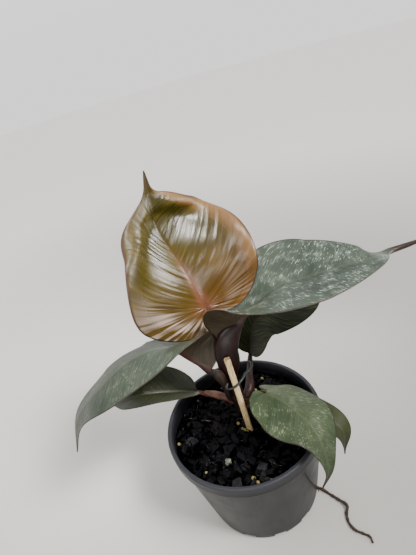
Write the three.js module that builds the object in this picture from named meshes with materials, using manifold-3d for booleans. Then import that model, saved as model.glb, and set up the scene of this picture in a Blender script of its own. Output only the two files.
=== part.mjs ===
// Potted red heart philodendron in a nursery pot.
// Millimetres, +Z up. Origin: centre of the pot's base on the surface it stands on.
// +X is to the right and +Y away from the front view.

import * as THREE from 'three';
import { mergeVertices } from 'three/addons/utils/BufferGeometryUtils.js';
import Module from 'manifold-3d';

const wasm = await Module();
wasm.setup();

// Pot
const POT_HEIGHT = 96;
const POT_RIM_RADIUS = 65;
const POT_BASE_RADIUS = 50;
const POT_WALL = 1.6;
const POT_FLOOR = 2.5;
const RIM_BAND = 10.3;
const SLOTS = 12;
const SLOT_WIDTH = 10;
const SLOT_HEIGHT = 4.5;
const SLOT_TURN = -27;

// Soil
const SOIL_TOP = 86;
const SOIL_GAP = 0.4;
const SOIL_RINGS = 11;
const SOIL_SPOKES = 40;
const CHIPS = 30;

// Stem and petioles
const GAP = 0.3;
const STEM_PATH = [[2, 15, 70], [2, 14.5, 86], [1, 14, 102], [-0.5, 13.5, 117]];
const STEM_RADII = [6.2, 6, 5.6, 6.4];

// Stake, tie and root
const STAKE_FOOT = [3.7, -10.5, 58];
const STAKE_TOP = [1.6, 2, 158];
const STAKE_SIZE = [4.8, 4.2];
const STAKE_CHAMFER = 0.9;
const WIRE_RADIUS = 1;
const TIE_PATH = [
  [-3.6, 0.6, 134.4], [-5.2, -1.6, 132.8], [-3.4, -3.9, 132.8], [0.4, -4.7, 133.8], [4.2, -4.5, 135.6],
  [8.2, -2.2, 137.2], [12, 2.8, 137], [15.7, 9, 133.4], [19.2, 16.2, 130.4], [19.4, 23, 128.4],
  [14.5, 26.5, 126.8], [8, 26.5, 127.6], [1.5, 24.8, 128.2], [-4.4, 23.2, 128], [-8.4, 19, 127.2],
  [-9, 14, 126.8], [-7.7, 9.6, 127.2],
];
const ROOT_PATH = [
  [44.6, -19.2, 1.6], [50, -24.3, 1.35], [57, -33.5, 1.4], [63, -42, 2.6], [63.2, -45.6, 2.8],
  [60.5, -49.6, 1.5], [59.4, -56.7, 1.3], [61.6, -63.1, 1.3], [66.9, -67.8, 1.3], [70.3, -71.1, 1.4],
  [70.4, -75.8, 1.2],
];
const ROOT_RADII = [1.3, 1.2, 1.25, 1.2, 1.1, 0.9];

// Dried bract over the small left leaf's petiole
const SHEATH_PATH = [[-7.5, 18.9, 99.6], [-15, 23, 101.9], [-21, 26.3, 103], [-26, 28.6, 104]];
const SHEATH_RADII = [3.2, 3.1, 2.9, 2];

// Leaves
const BLADE = 0.8;
const RIB = 1.5;

// Each leaf is a flat heart outline bent along its midrib. Lengths in mm, folds and curls in degrees.
// midrib: points from the petiole to the tip; facing: which way the upper side looks along it.
const LEAVES = {
  young: {
    midrib: [[-2, 17.5, 198], [-9, 22, 230], [-19, 30.5, 263.5], [-17, 27, 286], [-14, 22, 306.5]],
    facing: [[0.25, -0.95, 0.2], [0.25, -0.95, 0.3], [0.2, -0.8, 0.5], [0.4, -0.85, 0.15]],
    halfWidth: 53.5, widestAt: 36, lobeLength: 12.5,
    lobeWidth: 21, tailLength: 16.5, tailWidth: 3.5,
    fullness: 0.7, leftLobeLength: 18, leftLobeWidth: 9,
    foldLeft: [0, 20, 40, 15], foldRight: [2, 13, -19, -5],
    curlLeft: [-5, 10, -3], curlRight: [3, -3, 0],
  },
  right: {
    midrib: [
      [17, 12.5, 179], [29, 13, 188], [52, 10, 202.5], [80.5, 3, 208], [117.5, 2, 209], [139.5, 15.5, 201],
      [165, 11.5, 205.5],
    ],
    facing: [[-0.6, -0.05, 0.8], [-0.15, 0.1, 1.05], [-0.15, -0.15, 0.9], [-0.1, 0.1, 1]],
    halfWidth: 44, widestAt: 34.5, lobeLength: 17.5,
    lobeWidth: 8.5, tailLength: 28, tailWidth: 3,
    fullness: 0.1,
    foldLeft: [8, 23, 14, -18], foldRight: [92, 11, 5, -11],
    curlLeft: [-2, -2, 1], curlRight: [2, -2, 0],
  },
  left: {
    midrib: [
      [-13, 7.5, 146.5], [-26, 12.5, 160], [-39.5, 5, 183], [-63, -2.5, 187.5], [-92.5, -7, 174],
      [-120, -4, 148.5], [-133.5, -6, 116.5],
    ],
    facing: [[0.5, 0.25, 0.8], [-0.1, 0.05, 1], [-0.05, 0.05, 1], [-0.85, -0.2, 0.55]],
    halfWidth: 29.5, widestAt: 47.5, lobeLength: 0.5,
    lobeWidth: 18, tailLength: 16, tailWidth: 4,
    fullness: 0.4, leftLobeLength: -1,
    foldLeft: [98, 60, 6, -8, -11, -16.5, -20], foldRight: [37, -17, 0, 4],
    curlLeft: [1, -12, -2], curlRight: [-5, -9, -3],
  },
  back: {
    midrib: [[22.5, 47, 117], [30, 49.5, 140.5], [42, 52.5, 150], [73, 56, 155], [104, 90.5, 151]],
    facing: [[-0.3, -0.7, 0.45], [-0.25, -0.55, 0.85], [0.05, -0.4, 0.95], [0.3, -0.15, 1]],
    halfWidth: 27.5, widestAt: 46.5, lobeLength: 0.5,
    lobeWidth: 3, tailLength: 11, tailWidth: 2,
    fullness: 0.45,
    foldLeft: [2, 17, 6], foldRight: [43, 15, 8],
    curlLeft: [-6, 1, 1], curlRight: [5, -1, 1],
  },
  smallLeft: {
    midrib: [[-33, 30.5, 107], [-60, 26.5, 120], [-83, 24, 127.5], [-108.5, 31.5, 118]],
    facing: [[-0.05, -0.05, 1], [-0.05, -0.2, 1], [0, -0.35, 1]],
    halfWidth: 25, widestAt: 25, lobeLength: 0.5,
    lobeWidth: 7, tailLength: 6.5, tailWidth: 2,
    fullness: 0.4,
    foldLeft: [34, 32, 12], foldRight: [11, 21, 20],
    curlLeft: [1, 3, 0], curlRight: [-1, 1, 0],
  },
  front: {
    midrib: [[23, -10.5, 125], [35.5, -23.5, 121], [47, -46, 112], [48, -66, 97.5], [40, -70.5, 82]],
    facing: [[0.3, -0.3, 0.85], [0.4, -0.55, 0.75], [0.45, -0.9, 0], [0.3, -0.95, 0]],
    halfWidth: 28.5, widestAt: 23, lobeLength: 8.5,
    lobeWidth: 5.5, tailLength: 10, tailWidth: 2,
    fullness: 0.2,
    foldLeft: [-35, -5, 9], foldRight: [0, 3, 15],
    curlLeft: [-4, -9, 1], curlRight: [-1, -5, 1],
  },
  smallRight: {
    midrib: [[37.5, -7.5, 101], [55, -22, 101.5], [69.5, -38, 93.5], [67, -46, 76]],
    facing: [[-0.25, -0.35, 0.95], [0.35, -0.35, 0.75], [0.65, -0.6, 0.4], [0.7, -0.7, 0.05]],
    halfWidth: 13.5, widestAt: 26.5, lobeLength: 4.5,
    lobeWidth: 5, tailLength: 5, tailWidth: 1.5,
    fullness: 0.5,
    foldLeft: [5, 3, 19], foldRight: [17, 5, 3],
    curlLeft: [2, 0, 1], curlRight: [2, -1, -3],
  },
};

// Petioles: centre line from the stem to the leaf, half width along it, and half depth where it isn't round
const PETIOLES = {
  young: {
    path: [[-3.5, 17.2, 114], [-3.2, 17.7, 130], [-2.7, 18.8, 156], [-3, 20, 184]],
    radii: [2.8, 3, 2.6, 2.2],
  },
  right: {
    path: [
      [-0.6, 10.3, 115.5], [-0.2, 10, 126.6], [0.4, 9.4, 133.9], [1.2, 8.8, 142], [2.3, 8.3, 150.7],
      [2.8, 8.3, 159], [5.7, 9, 167.6], [10.3, 10.6, 172.7],
    ],
    radii: [4.5, 4.6, 5.6, 8.1, 9.2, 9.2, 9.4, 7.6, 3],
    depths: [3.6, 3.5, 3.5, 3.5, 3.6, 3.5, 3.4, 3.2, 2.4],
  },
  left: {
    path: [[-2, 11, 104], [-5.6, 5.8, 115], [-5.6, 4.2, 129], [-6.9, 3.8, 137], [-9.2, 4.8, 143.6]],
    radii: [2.5, 2.5, 2.6, 3.2, 4.3, 3],
    depths: [2.4, 2.4, 2.2, 2, 1.8, 1.6],
  },
  back: {
    path: [[4, 15, 95], [12.4, 22, 100.3], [16, 32, 105], [20, 42, 111.5]],
    radii: [3.2, 4.2, 3, 2.2],
  },
  smallLeft: {
    path: [[-2, 15.5, 96], [-12, 21, 99.5], [-24, 27.5, 102], [-32, 30.2, 105.5]],
    radii: [2.2, 2, 1.9, 1.7],
  },
  front: {
    path: [[3, 13, 98], [9, 4, 105], [16, -5, 114.5], [22, -9.8, 122.5]],
    radii: [2.4, 2.2, 2, 1.8],
  },
  smallRight: {
    path: [[4, 13, 92], [14, 6, 94], [27, -2, 96], [36.5, -8.5, 100]],
    radii: [2.2, 1.9, 1.7, 1.5],
  },
};

// Repeatable random numbers for the soil
let seed = 7;
function random(low = 0, high = 1) {
  seed = (seed * 1664525 + 1013904223) % 4294967296;
  return low + (high - low) * (seed / 4294967296);
}

function toSolid(geometry) {
  const bare = geometry.clone();
  bare.deleteAttribute('normal');
  bare.deleteAttribute('uv');
  const merged = mergeVertices(bare, 1e-4);
  return new wasm.Manifold(new wasm.Mesh({
    numProp: 3,
    vertProperties: new Float32Array(merged.attributes.position.array),
    triVerts: new Uint32Array(merged.index.array),
  }));
}

// The main body alone, without the crumbs that a cut can leave
function toGeometry(solid) {
  const bodies = solid.decompose().sort((a, b) => b.volume() - a.volume());
  const mesh = bodies[0].getMesh();
  const geometry = new THREE.BufferGeometry();
  geometry.setAttribute('position', new THREE.BufferAttribute(new Float32Array(mesh.vertProperties), 3));
  geometry.setIndex(Array.from(mesh.triVerts));
  return geometry;
}

function fromTriangles(vertices, triangles) {
  const geometry = new THREE.BufferGeometry();
  geometry.setAttribute('position', new THREE.Float32BufferAttribute(vertices.flat(), 3));
  geometry.setIndex(triangles.flat());
  return geometry;
}

function vectors(points) {
  return points.map((p) => new THREE.Vector3(...p));
}

// A limb along a curve, wide and deep as the half widths and half depths say, round without the depths
function limb(points, radii, sides = 8, steps = 12, depths = radii) {
  const curve = new THREE.CatmullRomCurve3(vectors(points), false, 'centripetal');
  const frames = depths === radii ? curve.computeFrenetFrames(steps, false) : frontFrames(curve, steps);
  const vertices = [];
  const triangles = [];
  for (let i = 0; i <= steps; i += 1) {
    const centre = curve.getPointAt(i / steps);
    const width = along(radii, i / steps);
    const depth = along(depths, i / steps);
    for (let k = 0; k < sides; k += 1) {
      const angle = (2 * Math.PI * k) / sides;
      const p = centre.clone()
        .addScaledVector(frames.normals[i], width * Math.cos(angle))
        .addScaledVector(frames.binormals[i], depth * Math.sin(angle));
      vertices.push(p.toArray());
    }
  }
  for (let i = 0; i < steps; i += 1) {
    for (let k = 0; k < sides; k += 1) {
      const a = i * sides + k;
      const b = i * sides + ((k + 1) % sides);
      triangles.push([a, b, b + sides], [a, b + sides, a + sides]);
    }
  }
  const start = vertices.length;
  vertices.push(curve.getPointAt(0).toArray(), curve.getPointAt(1).toArray());
  for (let k = 0; k < sides; k += 1) {
    const next = (k + 1) % sides;
    triangles.push([start, next, k]);
    triangles.push([start + 1, steps * sides + k, steps * sides + next]);
  }
  return fromTriangles(vertices, triangles);
}

// Directions across a curve: one lies square to the front view, the other points back
function frontFrames(curve, steps) {
  const normals = [];
  const binormals = [];
  for (let i = 0; i <= steps; i += 1) {
    const forward = curve.getTangentAt(i / steps);
    const across = new THREE.Vector3(0, 1, 0).cross(forward).normalize();
    normals.push(across);
    binormals.push(forward.clone().cross(across));
  }
  return { normals, binormals };
}

// Smooth value from evenly spaced ones, x from 0 to 1
function along(values, x) {
  const n = values.length - 1;
  const u = Math.min(Math.max(x, 0), 1) * n;
  const i = Math.min(Math.floor(u), n - 1);
  const t = u - i;
  const before = values[Math.max(i - 1, 0)];
  const from = values[i];
  const to = values[i + 1];
  const after = values[Math.min(i + 2, n)];
  return 0.5 * (2 * from + (to - before) * t + (2 * before - 5 * from + 4 * to - after) * t * t
    + (3 * from - before - 3 * to + after) * t * t * t);
}

function cubic(p0, p1, p2, p3, t) {
  const u = 1 - t;
  const [w0, w1, w2, w3] = [u * u * u, 3 * u * u * t, 3 * u * t * t, t * t * t];
  return [0, 1].map((k) => w0 * p0[k] + w1 * p1[k] + w2 * p2[k] + w3 * p3[k]);
}

// Half of the flat heart: from beside the petiole, round the lobe and the wide part, to the tip
function halfOutline(leaf, length, lobeLength = leaf.lobeLength, lobeWidth = leaf.lobeWidth) {
  const { halfWidth, widestAt, tailLength, tailWidth, fullness } = leaf;
  const taper = length - tailLength - widestAt;
  const shoulder = length - tailLength;
  const swell = (0.04 + 0.5 * fullness) * halfWidth;
  const sinus = [0, 0.6];
  const lobe = [-lobeLength, lobeWidth];
  const widest = [widestAt, halfWidth];
  const neck = [shoulder, tailWidth];
  const parts = [
    [sinus, [-0.55 * lobeLength, 0.6 + 0.04 * halfWidth], [-lobeLength, 0.45 * lobeWidth], lobe, 3],
    [lobe, [-lobeLength, lobeWidth + 0.6 * (halfWidth - lobeWidth)],
      [widestAt - 0.5 * (widestAt + lobeLength), halfWidth], widest, 6],
    [widest, [widestAt + (0.35 + 0.4 * fullness) * taper, halfWidth],
      [shoulder - (0.32 - 0.25 * fullness) * taper, tailWidth + swell], neck, 9],
    [neck, [shoulder + 0.2 * tailLength, tailWidth * 0.75], [length - 0.4 * tailLength, tailWidth * 0.5],
      [length, 0.45], 3],
  ];
  const outline = [];
  parts.forEach(([p0, p1, p2, p3, steps]) => {
    for (let i = 1; i <= steps; i += 1) {
      outline.push(cubic(p0, p1, p2, p3, i / steps));
    }
  });
  return outline;
}

// Position on the bent leaf of a point of the flat one: a along the midrib, b out to one side
function bentLeaf(leaf) {
  const points = vectors(leaf.midrib);
  points.unshift(points[0].clone().multiplyScalar(2).sub(points[1]));
  points.push(points[points.length - 1].clone().multiplyScalar(2).sub(points[points.length - 2]));
  const line = [];
  for (let i = 1; i < points.length - 2; i += 1) {
    for (let k = 0; k < 30; k += 1) {
      const t = k / 30;
      line.push(new THREE.Vector3(...['x', 'y', 'z'].map((c) => {
        const [p0, p1, p2, p3] = [points[i - 1][c], points[i][c], points[i + 1][c], points[i + 2][c]];
        return 0.5 * (2 * p1 + (p2 - p0) * t + (2 * p0 - 5 * p1 + 4 * p2 - p3) * t * t
          + (3 * p1 - p0 - 3 * p2 + p3) * t * t * t);
      })));
    }
  }
  line.push(points[points.length - 2].clone());
  const lengths = [0];
  for (let i = 1; i < line.length; i += 1) {
    lengths.push(lengths[i - 1] + line[i].distanceTo(line[i - 1]));
  }
  const length = lengths[lengths.length - 1];
  function onLine(a) {
    let i = 1;
    while (i < line.length - 1 && lengths[i] < a) i += 1;
    const t = (a - lengths[i - 1]) / (lengths[i] - lengths[i - 1]);
    return line[i - 1].clone().lerp(line[i], t);
  }
  const step = length / 159;
  function frame(a) {
    const inside = Math.min(Math.max(a, 0), length);
    const ahead = Math.min(inside + step, length);
    const behind = Math.max(inside - step, 0);
    const forward = onLine(ahead).sub(onLine(behind)).normalize();
    const facing = new THREE.Vector3(
      along(leaf.facing.map((v) => v[0]), inside / length),
      along(leaf.facing.map((v) => v[1]), inside / length),
      along(leaf.facing.map((v) => v[2]), inside / length),
    );
    const normal = facing.addScaledVector(forward, -facing.dot(forward)).normalize();
    const across = forward.clone().cross(normal);
    const centre = onLine(inside).addScaledVector(forward, Math.min(a, 0));
    return { centre, across, normal };
  }
  function place([a, b], side) {
    const { centre, across, normal } = frame(a);
    const x = (a + leaf.lobeLength) / (length + leaf.lobeLength);
    const fold = along(side < 0 ? leaf.foldLeft : leaf.foldRight, x);
    const curl = along(side < 0 ? leaf.curlLeft : leaf.curlRight, x);
    const steps = 10;
    let out = 0;
    let up = 0;
    for (let i = 0; i < steps; i += 1) {
      const angle = THREE.MathUtils.degToRad(fold + curl * (b / leaf.halfWidth) * ((i + 0.5) / steps));
      out += (Math.cos(angle) * b) / steps;
      up += (Math.sin(angle) * b) / steps;
    }
    return centre.addScaledVector(across, side * out).addScaledVector(normal, up);
  }
  return { place, frame, length };
}

// Closed blade of even thickness: a grid of veins on each half, alike on both faces
function blade(leaf, columns) {
  const { place, length } = bentLeaf(leaf);
  const outline = halfOutline(leaf, length);
  const anchors = outline.map(([a, b]) => {
    const x = a - 0.7 * b;
    return 0.5 * (x + Math.sqrt(x * x + (0.06 * length) ** 2));
  });
  for (let i = 1; i < anchors.length; i += 1) {
    anchors[i] = Math.max(anchors[i], anchors[i - 1] + 0.5);
  }
  const first = anchors[0];
  const last = anchors[anchors.length - 1];
  const rows = anchors.map((anchor) => ((anchor - first) / (last - first)) * length);
  const vertices = [];
  const triangles = [];
  const middle = rows.map((anchor) => vertices.push(place([anchor, 0], 1)) - 1);
  [-1, 1].forEach((side) => {
    const lobe = side < 0 ? [leaf.leftLobeLength, leaf.leftLobeWidth] : [];
    const edges = halfOutline(leaf, length, ...lobe);
    const grid = rows.map((anchor, i) => {
      const run = edges[i][0] - anchor;
      const rise = edges[i][1];
      const row = [middle[i]];
      for (let k = 1; k <= columns; k += 1) {
        const t = k / columns;
        const bow = 0.1 * t * (1 - t);
        const a = anchor + run * t - rise * bow;
        const b = Math.max(rise * t + run * bow, 0.02 * k);
        row.push(vertices.push(place([a, b], side)) - 1);
      }
      return row;
    });
    for (let i = 0; i < grid.length - 1; i += 1) {
      for (let k = 0; k < columns; k += 1) {
        const quad = [grid[i][k], grid[i][k + 1], grid[i + 1][k + 1], grid[i + 1][k]];
        const ordered = side > 0 ? quad : [quad[0], quad[3], quad[2], quad[1]];
        const [p, q, r, s] = ordered;
        triangles.push([p, r, q], [p, s, r]);
      }
    }
  });
  return thicken(vertices, triangles, BLADE);
}

// Gives an open surface a thickness, half to each side, with a closed edge
function thicken(points, triangles, thickness) {
  const normals = points.map(() => new THREE.Vector3());
  triangles.forEach(([a, b, c]) => {
    const n = points[b].clone().sub(points[a]).cross(points[c].clone().sub(points[a]));
    [a, b, c].forEach((v) => normals[v].add(n));
  });
  const count = points.length;
  normals.forEach((n) => n.setLength(thickness / 2));
  const top = points.map((p, i) => p.clone().add(normals[i]).toArray());
  const under = points.map((p, i) => p.clone().sub(normals[i]).toArray());
  const edges = new Map();
  triangles.forEach(([a, b, c]) => {
    [[a, b], [b, c], [c, a]].forEach(([p, q]) => {
      if (edges.has(`${q},${p}`)) edges.delete(`${q},${p}`);
      else edges.set(`${p},${q}`, [p, q]);
    });
  });
  const all = [];
  triangles.forEach(([a, b, c]) => all.push([a, b, c], [a + count, c + count, b + count]));
  edges.forEach(([p, q]) => all.push([p, p + count, q + count], [p, q + count, q]));
  return fromTriangles([...top, ...under], all);
}

// A whole leaf: blade, rib under it and petiole, as grown
function leafSolid(name, columns) {
  const leaf = LEAVES[name];
  const { frame, length } = bentLeaf(leaf);
  const { path, radii, depths } = PETIOLES[name];
  const sides = depths ? 10 : 8;
  const joint = frame(0.06 * length);
  const end = joint.centre.addScaledVector(joint.normal, -0.6 * RIB).toArray();
  const stalk = limb(
    [...path, leaf.midrib[0], end], [...radii, RIB], sides, depths ? 13 : 12, depths && [...depths, RIB],
  );
  const ribRadii = [RIB, RIB * 0.85, RIB * 0.7, RIB * 0.6, 0.6, 0.5];
  const ribPoints = [0, 0.18, 0.36, 0.54, 0.72, 0.9].map((x, i) => {
    const { centre, normal } = frame(x * length);
    return centre.addScaledVector(normal, -0.6 * ribRadii[i]).toArray();
  });
  const rib = limb(ribPoints, ribRadii, 6, 12);
  return toSolid(blade(leaf, columns)).add(toSolid(rib)).add(toSolid(stalk));
}

function potSolid() {
  const wallTop = POT_HEIGHT - RIM_BAND;
  const wallRadius = POT_RIM_RADIUS - 2.4;
  const inner = POT_RIM_RADIUS - POT_WALL;
  const profile = [
    [0, 0], [POT_BASE_RADIUS - 1, 0], [POT_BASE_RADIUS, 1],
    [POT_BASE_RADIUS + 0.9, 6], [wallRadius, wallTop - 0.6],
    [POT_RIM_RADIUS - 0.7, wallTop], [POT_RIM_RADIUS - 0.3, wallTop + 1],
    [POT_RIM_RADIUS, POT_HEIGHT - 1.4], [POT_RIM_RADIUS - 0.5, POT_HEIGHT - 0.3],
    [POT_RIM_RADIUS - 1.3, POT_HEIGHT],
    [inner - 1.6, POT_HEIGHT - 0.2], [inner - 2.1, POT_HEIGHT - 1.2], [wallRadius - POT_WALL, wallTop],
    [POT_BASE_RADIUS - POT_WALL, POT_FLOOR + 1], [POT_BASE_RADIUS - POT_WALL - 1, POT_FLOOR], [0, POT_FLOOR],
  ];
  const lathe = new THREE.LatheGeometry(profile.map(([r, z]) => new THREE.Vector2(r, z)), 60);
  lathe.rotateX(Math.PI / 2);
  let pot = toSolid(lathe);
  for (let i = 0; i < SLOTS; i += 1) {
    const slot = new THREE.BoxGeometry(10, SLOT_WIDTH, 2 * SLOT_HEIGHT);
    slot.translate(POT_BASE_RADIUS + 0.5, 0, 0);
    slot.rotateZ(THREE.MathUtils.degToRad(SLOT_TURN + (360 / SLOTS) * i));
    pot = pot.subtract(toSolid(slot));
  }
  return pot;
}

// Radius of the pot's inner wall at a height
function innerRadius(z) {
  const low = POT_BASE_RADIUS - POT_WALL;
  const high = POT_RIM_RADIUS - 2.4 - POT_WALL;
  return low + (high - low) * ((z - POT_FLOOR - 1) / (POT_HEIGHT - RIM_BAND - POT_FLOOR - 1));
}

function soilHeight(x, y) {
  const swell = 1.2 * Math.sin(0.11 * x + 0.4) * Math.cos(0.13 * y - 0.7);
  const ripple = Math.sin(0.53 * x + 1.3 * Math.sin(0.31 * y));
  const crumbs = ripple * Math.cos(0.47 * y + 0.8 * Math.sin(0.37 * x));
  return SOIL_TOP + swell + 0.7 * crumbs - 0.0006 * (x * x + y * y);
}

function soilSolid() {
  const foot = POT_FLOOR + SOIL_GAP;
  const vertices = [[0, 0, foot], [0, 0, soilHeight(0, 0)]];
  const triangles = [];
  for (let i = 1; i <= SOIL_RINGS; i += 1) {
    for (let k = 0; k < SOIL_SPOKES; k += 1) {
      const angle = (2 * Math.PI * (k + 0.5 * (i % 2))) / SOIL_SPOKES;
      const r = (innerRadius(SOIL_TOP) - SOIL_GAP - 0.8) * (i / SOIL_RINGS);
      const x = r * Math.cos(angle);
      const y = r * Math.sin(angle);
      vertices.push([x, y, soilHeight(x, y)]);
    }
  }
  const rim = 2 + (SOIL_RINGS - 1) * SOIL_SPOKES;
  for (let k = 0; k < SOIL_SPOKES; k += 1) {
    const [x, y] = vertices[rim + k];
    const shrink = (innerRadius(foot + 1.2) - SOIL_GAP - 1) / Math.hypot(x, y);
    vertices.push([x * shrink, y * shrink, foot]);
  }
  for (let k = 0; k < SOIL_SPOKES; k += 1) {
    const next = (k + 1) % SOIL_SPOKES;
    triangles.push([1, 2 + k, 2 + next]);
    for (let i = 1; i < SOIL_RINGS; i += 1) {
      const a = 2 + (i - 1) * SOIL_SPOKES;
      const b = a + SOIL_SPOKES;
      if (i % 2) triangles.push([a + k, b + k, b + next], [a + k, b + next, a + next]);
      else triangles.push([a + k, b + k, a + next], [a + next, b + k, b + next]);
    }
    const low = rim + SOIL_SPOKES;
    triangles.push([rim + k, low + k, low + next], [rim + k, low + next, rim + next]);
    triangles.push([0, low + next, low + k]);
  }
  let soil = toSolid(fromTriangles(vertices, triangles));
  for (let i = 0; i < CHIPS; i += 1) {
    soil = soil.add(toSolid(barkChip()));
  }
  return soil;
}

// A broken bark chip lying half sunk in the soil
function barkChip() {
  const reach = Math.sqrt(random()) * (innerRadius(SOIL_TOP) - 8.5);
  const angle = random(0, 2 * Math.PI);
  const x = reach * Math.cos(angle);
  const y = reach * Math.sin(angle);
  const size = random(2.4, 5.6);
  const chip = new THREE.BoxGeometry(size * random(1, 1.7), size * random(0.7, 1.1), size * random(0.5, 0.8));
  const corners = chip.attributes.position;
  const shifts = new Map();
  for (let i = 0; i < corners.count; i += 1) {
    const key = [corners.getX(i) > 0, corners.getY(i) > 0, corners.getZ(i) > 0].join();
    if (!shifts.has(key)) {
      shifts.set(key, [random(-0.2, 0.2), random(-0.2, 0.2), random(-0.16, 0.16)]);
    }
    const [dx, dy, dz] = shifts.get(key);
    corners.setXYZ(i, corners.getX(i) + dx * size, corners.getY(i) + dy * size, corners.getZ(i) + dz * size);
  }
  chip.rotateX(random(-0.5, 0.5));
  chip.rotateY(random(-0.4, 0.4));
  chip.rotateZ(random(0, Math.PI));
  chip.translate(x, y, soilHeight(x, y) + 0.1 * size);
  return chip;
}

function stakeGeometry(extra) {
  const foot = new THREE.Vector3(...STAKE_FOOT);
  const top = new THREE.Vector3(...STAKE_TOP);
  const length = foot.distanceTo(top);
  const [width, depth] = STAKE_SIZE;
  const w = width / 2 + extra;
  const d = depth / 2 + extra;
  const c = STAKE_CHAMFER;
  const shape = new THREE.Shape([
    [w, c - d], [w, d - c], [w - c, d], [c - w, d], [-w, d - c], [-w, c - d], [c - w, -d], [w - c, -d],
  ].map(([x, y]) => new THREE.Vector2(x, y)));
  const depthAlong = length + 2 * extra;
  const stick = new THREE.ExtrudeGeometry(shape, { depth: depthAlong, steps: 1, bevelEnabled: false });
  stick.translate(0, 0, -extra);
  const upright = new THREE.Vector3(0, 0, 1);
  const direction = top.clone().sub(foot).normalize();
  stick.applyQuaternion(new THREE.Quaternion().setFromUnitVectors(upright, direction));
  stick.translate(...foot.toArray());
  return stick;
}

// Dried bract lying over the small left leaf's petiole, open below
function sheathSolid() {
  const { path, radii } = PETIOLES.smallLeft;
  const outside = toSolid(limb(SHEATH_PATH, SHEATH_RADII, 10, 12));
  const petiole = toSolid(limb(path, radii.map((r) => r + GAP + 0.05), 10, 20));
  const below = new THREE.BoxGeometry(60, 20, 12);
  below.translate(0, 0, -6.2);
  below.rotateY(THREE.MathUtils.degToRad(12));
  below.rotateZ(THREE.MathUtils.degToRad(-27));
  below.translate(...SHEATH_PATH[1]);
  return outside.subtract(petiole).subtract(toSolid(below));
}

const stem = toSolid(limb(STEM_PATH, STEM_RADII, 12, 12));

// Space kept free round the stem, a little longer than it at both ends
const roomPath = STEM_PATH.map(([x, y, z], i) => {
  if (i === 0) return [x, y, z - 0.5];
  if (i === STEM_PATH.length - 1) return [x, y, z + 0.5];
  return [x, y, z];
});
const stemRoom = toSolid(limb(roomPath, STEM_RADII.map((r) => r + GAP + 0.1), 12, 12));

const solids = {
  pot: potSolid(),
  soil: soilSolid().subtract(stemRoom).subtract(toSolid(stakeGeometry(GAP))),
  stem,
  stake: toSolid(stakeGeometry(0)),
  tie: toSolid(limb(TIE_PATH, [WIRE_RADIUS, WIRE_RADIUS], 6, 50)),
  root: toSolid(limb(ROOT_PATH, ROOT_RADII, 6, 34)),
  dry_sheath: sheathSolid(),
};
Object.keys(LEAVES).forEach((name) => {
  const columns = name === 'smallLeft' || name === 'smallRight' ? 3 : 4;
  solids[`leaf_${name}`] = leafSolid(name, columns).subtract(stemRoom);
});

// Colour and roughness
const COLOURS = {
  pot: [0x3b3f44, 0.45],
  soil: [0x241f1b, 0.95],
  stem: [0x4a2a2a, 0.6],
  stake: [0xd8c49a, 0.75],
  tie: [0x2f4a44, 0.5],
  root: [0x3d2b20, 0.85],
  dry_sheath: [0x9a5a34, 0.8],
  leaf_young: [0x8d6a3c, 0.25],
  leaf_right: [0x5f6f62, 0.45],
  leaf_left: [0x66766a, 0.45],
  leaf_back: [0x3b4436, 0.5],
  leaf_smallLeft: [0x4c5340, 0.5],
  leaf_front: [0x63765a, 0.45],
  leaf_smallRight: [0x55643f, 0.5],
};

const plant = new THREE.Group();
Object.entries(solids).forEach(([name, solid]) => {
  const [color, roughness] = COLOURS[name];
  const material = new THREE.MeshStandardMaterial({ color, roughness, metalness: 0 });
  const mesh = new THREE.Mesh(toGeometry(solid), material);
  mesh.name = name;
  plant.add(mesh);
});

export default plant;
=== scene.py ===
"""Potted red heart philodendron: finer leaves, stems, soil and finishes for the solid part."""

import math

import bmesh
import bpy
import numpy as np
from mathutils import Matrix, Vector


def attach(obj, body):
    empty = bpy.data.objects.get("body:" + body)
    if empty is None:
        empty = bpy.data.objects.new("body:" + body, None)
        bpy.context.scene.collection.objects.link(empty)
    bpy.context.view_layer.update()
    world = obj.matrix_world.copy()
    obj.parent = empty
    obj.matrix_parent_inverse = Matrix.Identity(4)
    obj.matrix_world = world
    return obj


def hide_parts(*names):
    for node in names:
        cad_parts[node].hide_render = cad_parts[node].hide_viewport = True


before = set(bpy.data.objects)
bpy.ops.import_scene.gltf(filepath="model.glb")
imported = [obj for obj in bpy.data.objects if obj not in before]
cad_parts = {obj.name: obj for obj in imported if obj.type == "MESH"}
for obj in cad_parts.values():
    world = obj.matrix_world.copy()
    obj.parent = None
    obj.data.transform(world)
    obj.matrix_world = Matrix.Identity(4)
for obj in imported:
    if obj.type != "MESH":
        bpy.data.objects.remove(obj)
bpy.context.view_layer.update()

MM = 0.001

# Pot, in mm and degrees
POT_HEIGHT = 96
POT_RIM_RADIUS = 65
POT_BASE_RADIUS = 50
POT_WALL = 1.6
POT_FLOOR = 2.5
POT_SIDES = 180
RIM_BAND = 10.3
BAND_STEP = 2.4
SLOTS = 12
SLOT_WIDTH = 10
SLOT_HEIGHT = 4.5
SLOT_TURN = -27
SLOT_REACH = (45.5, 55.5)
SHARP_EDGE = 38

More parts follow.
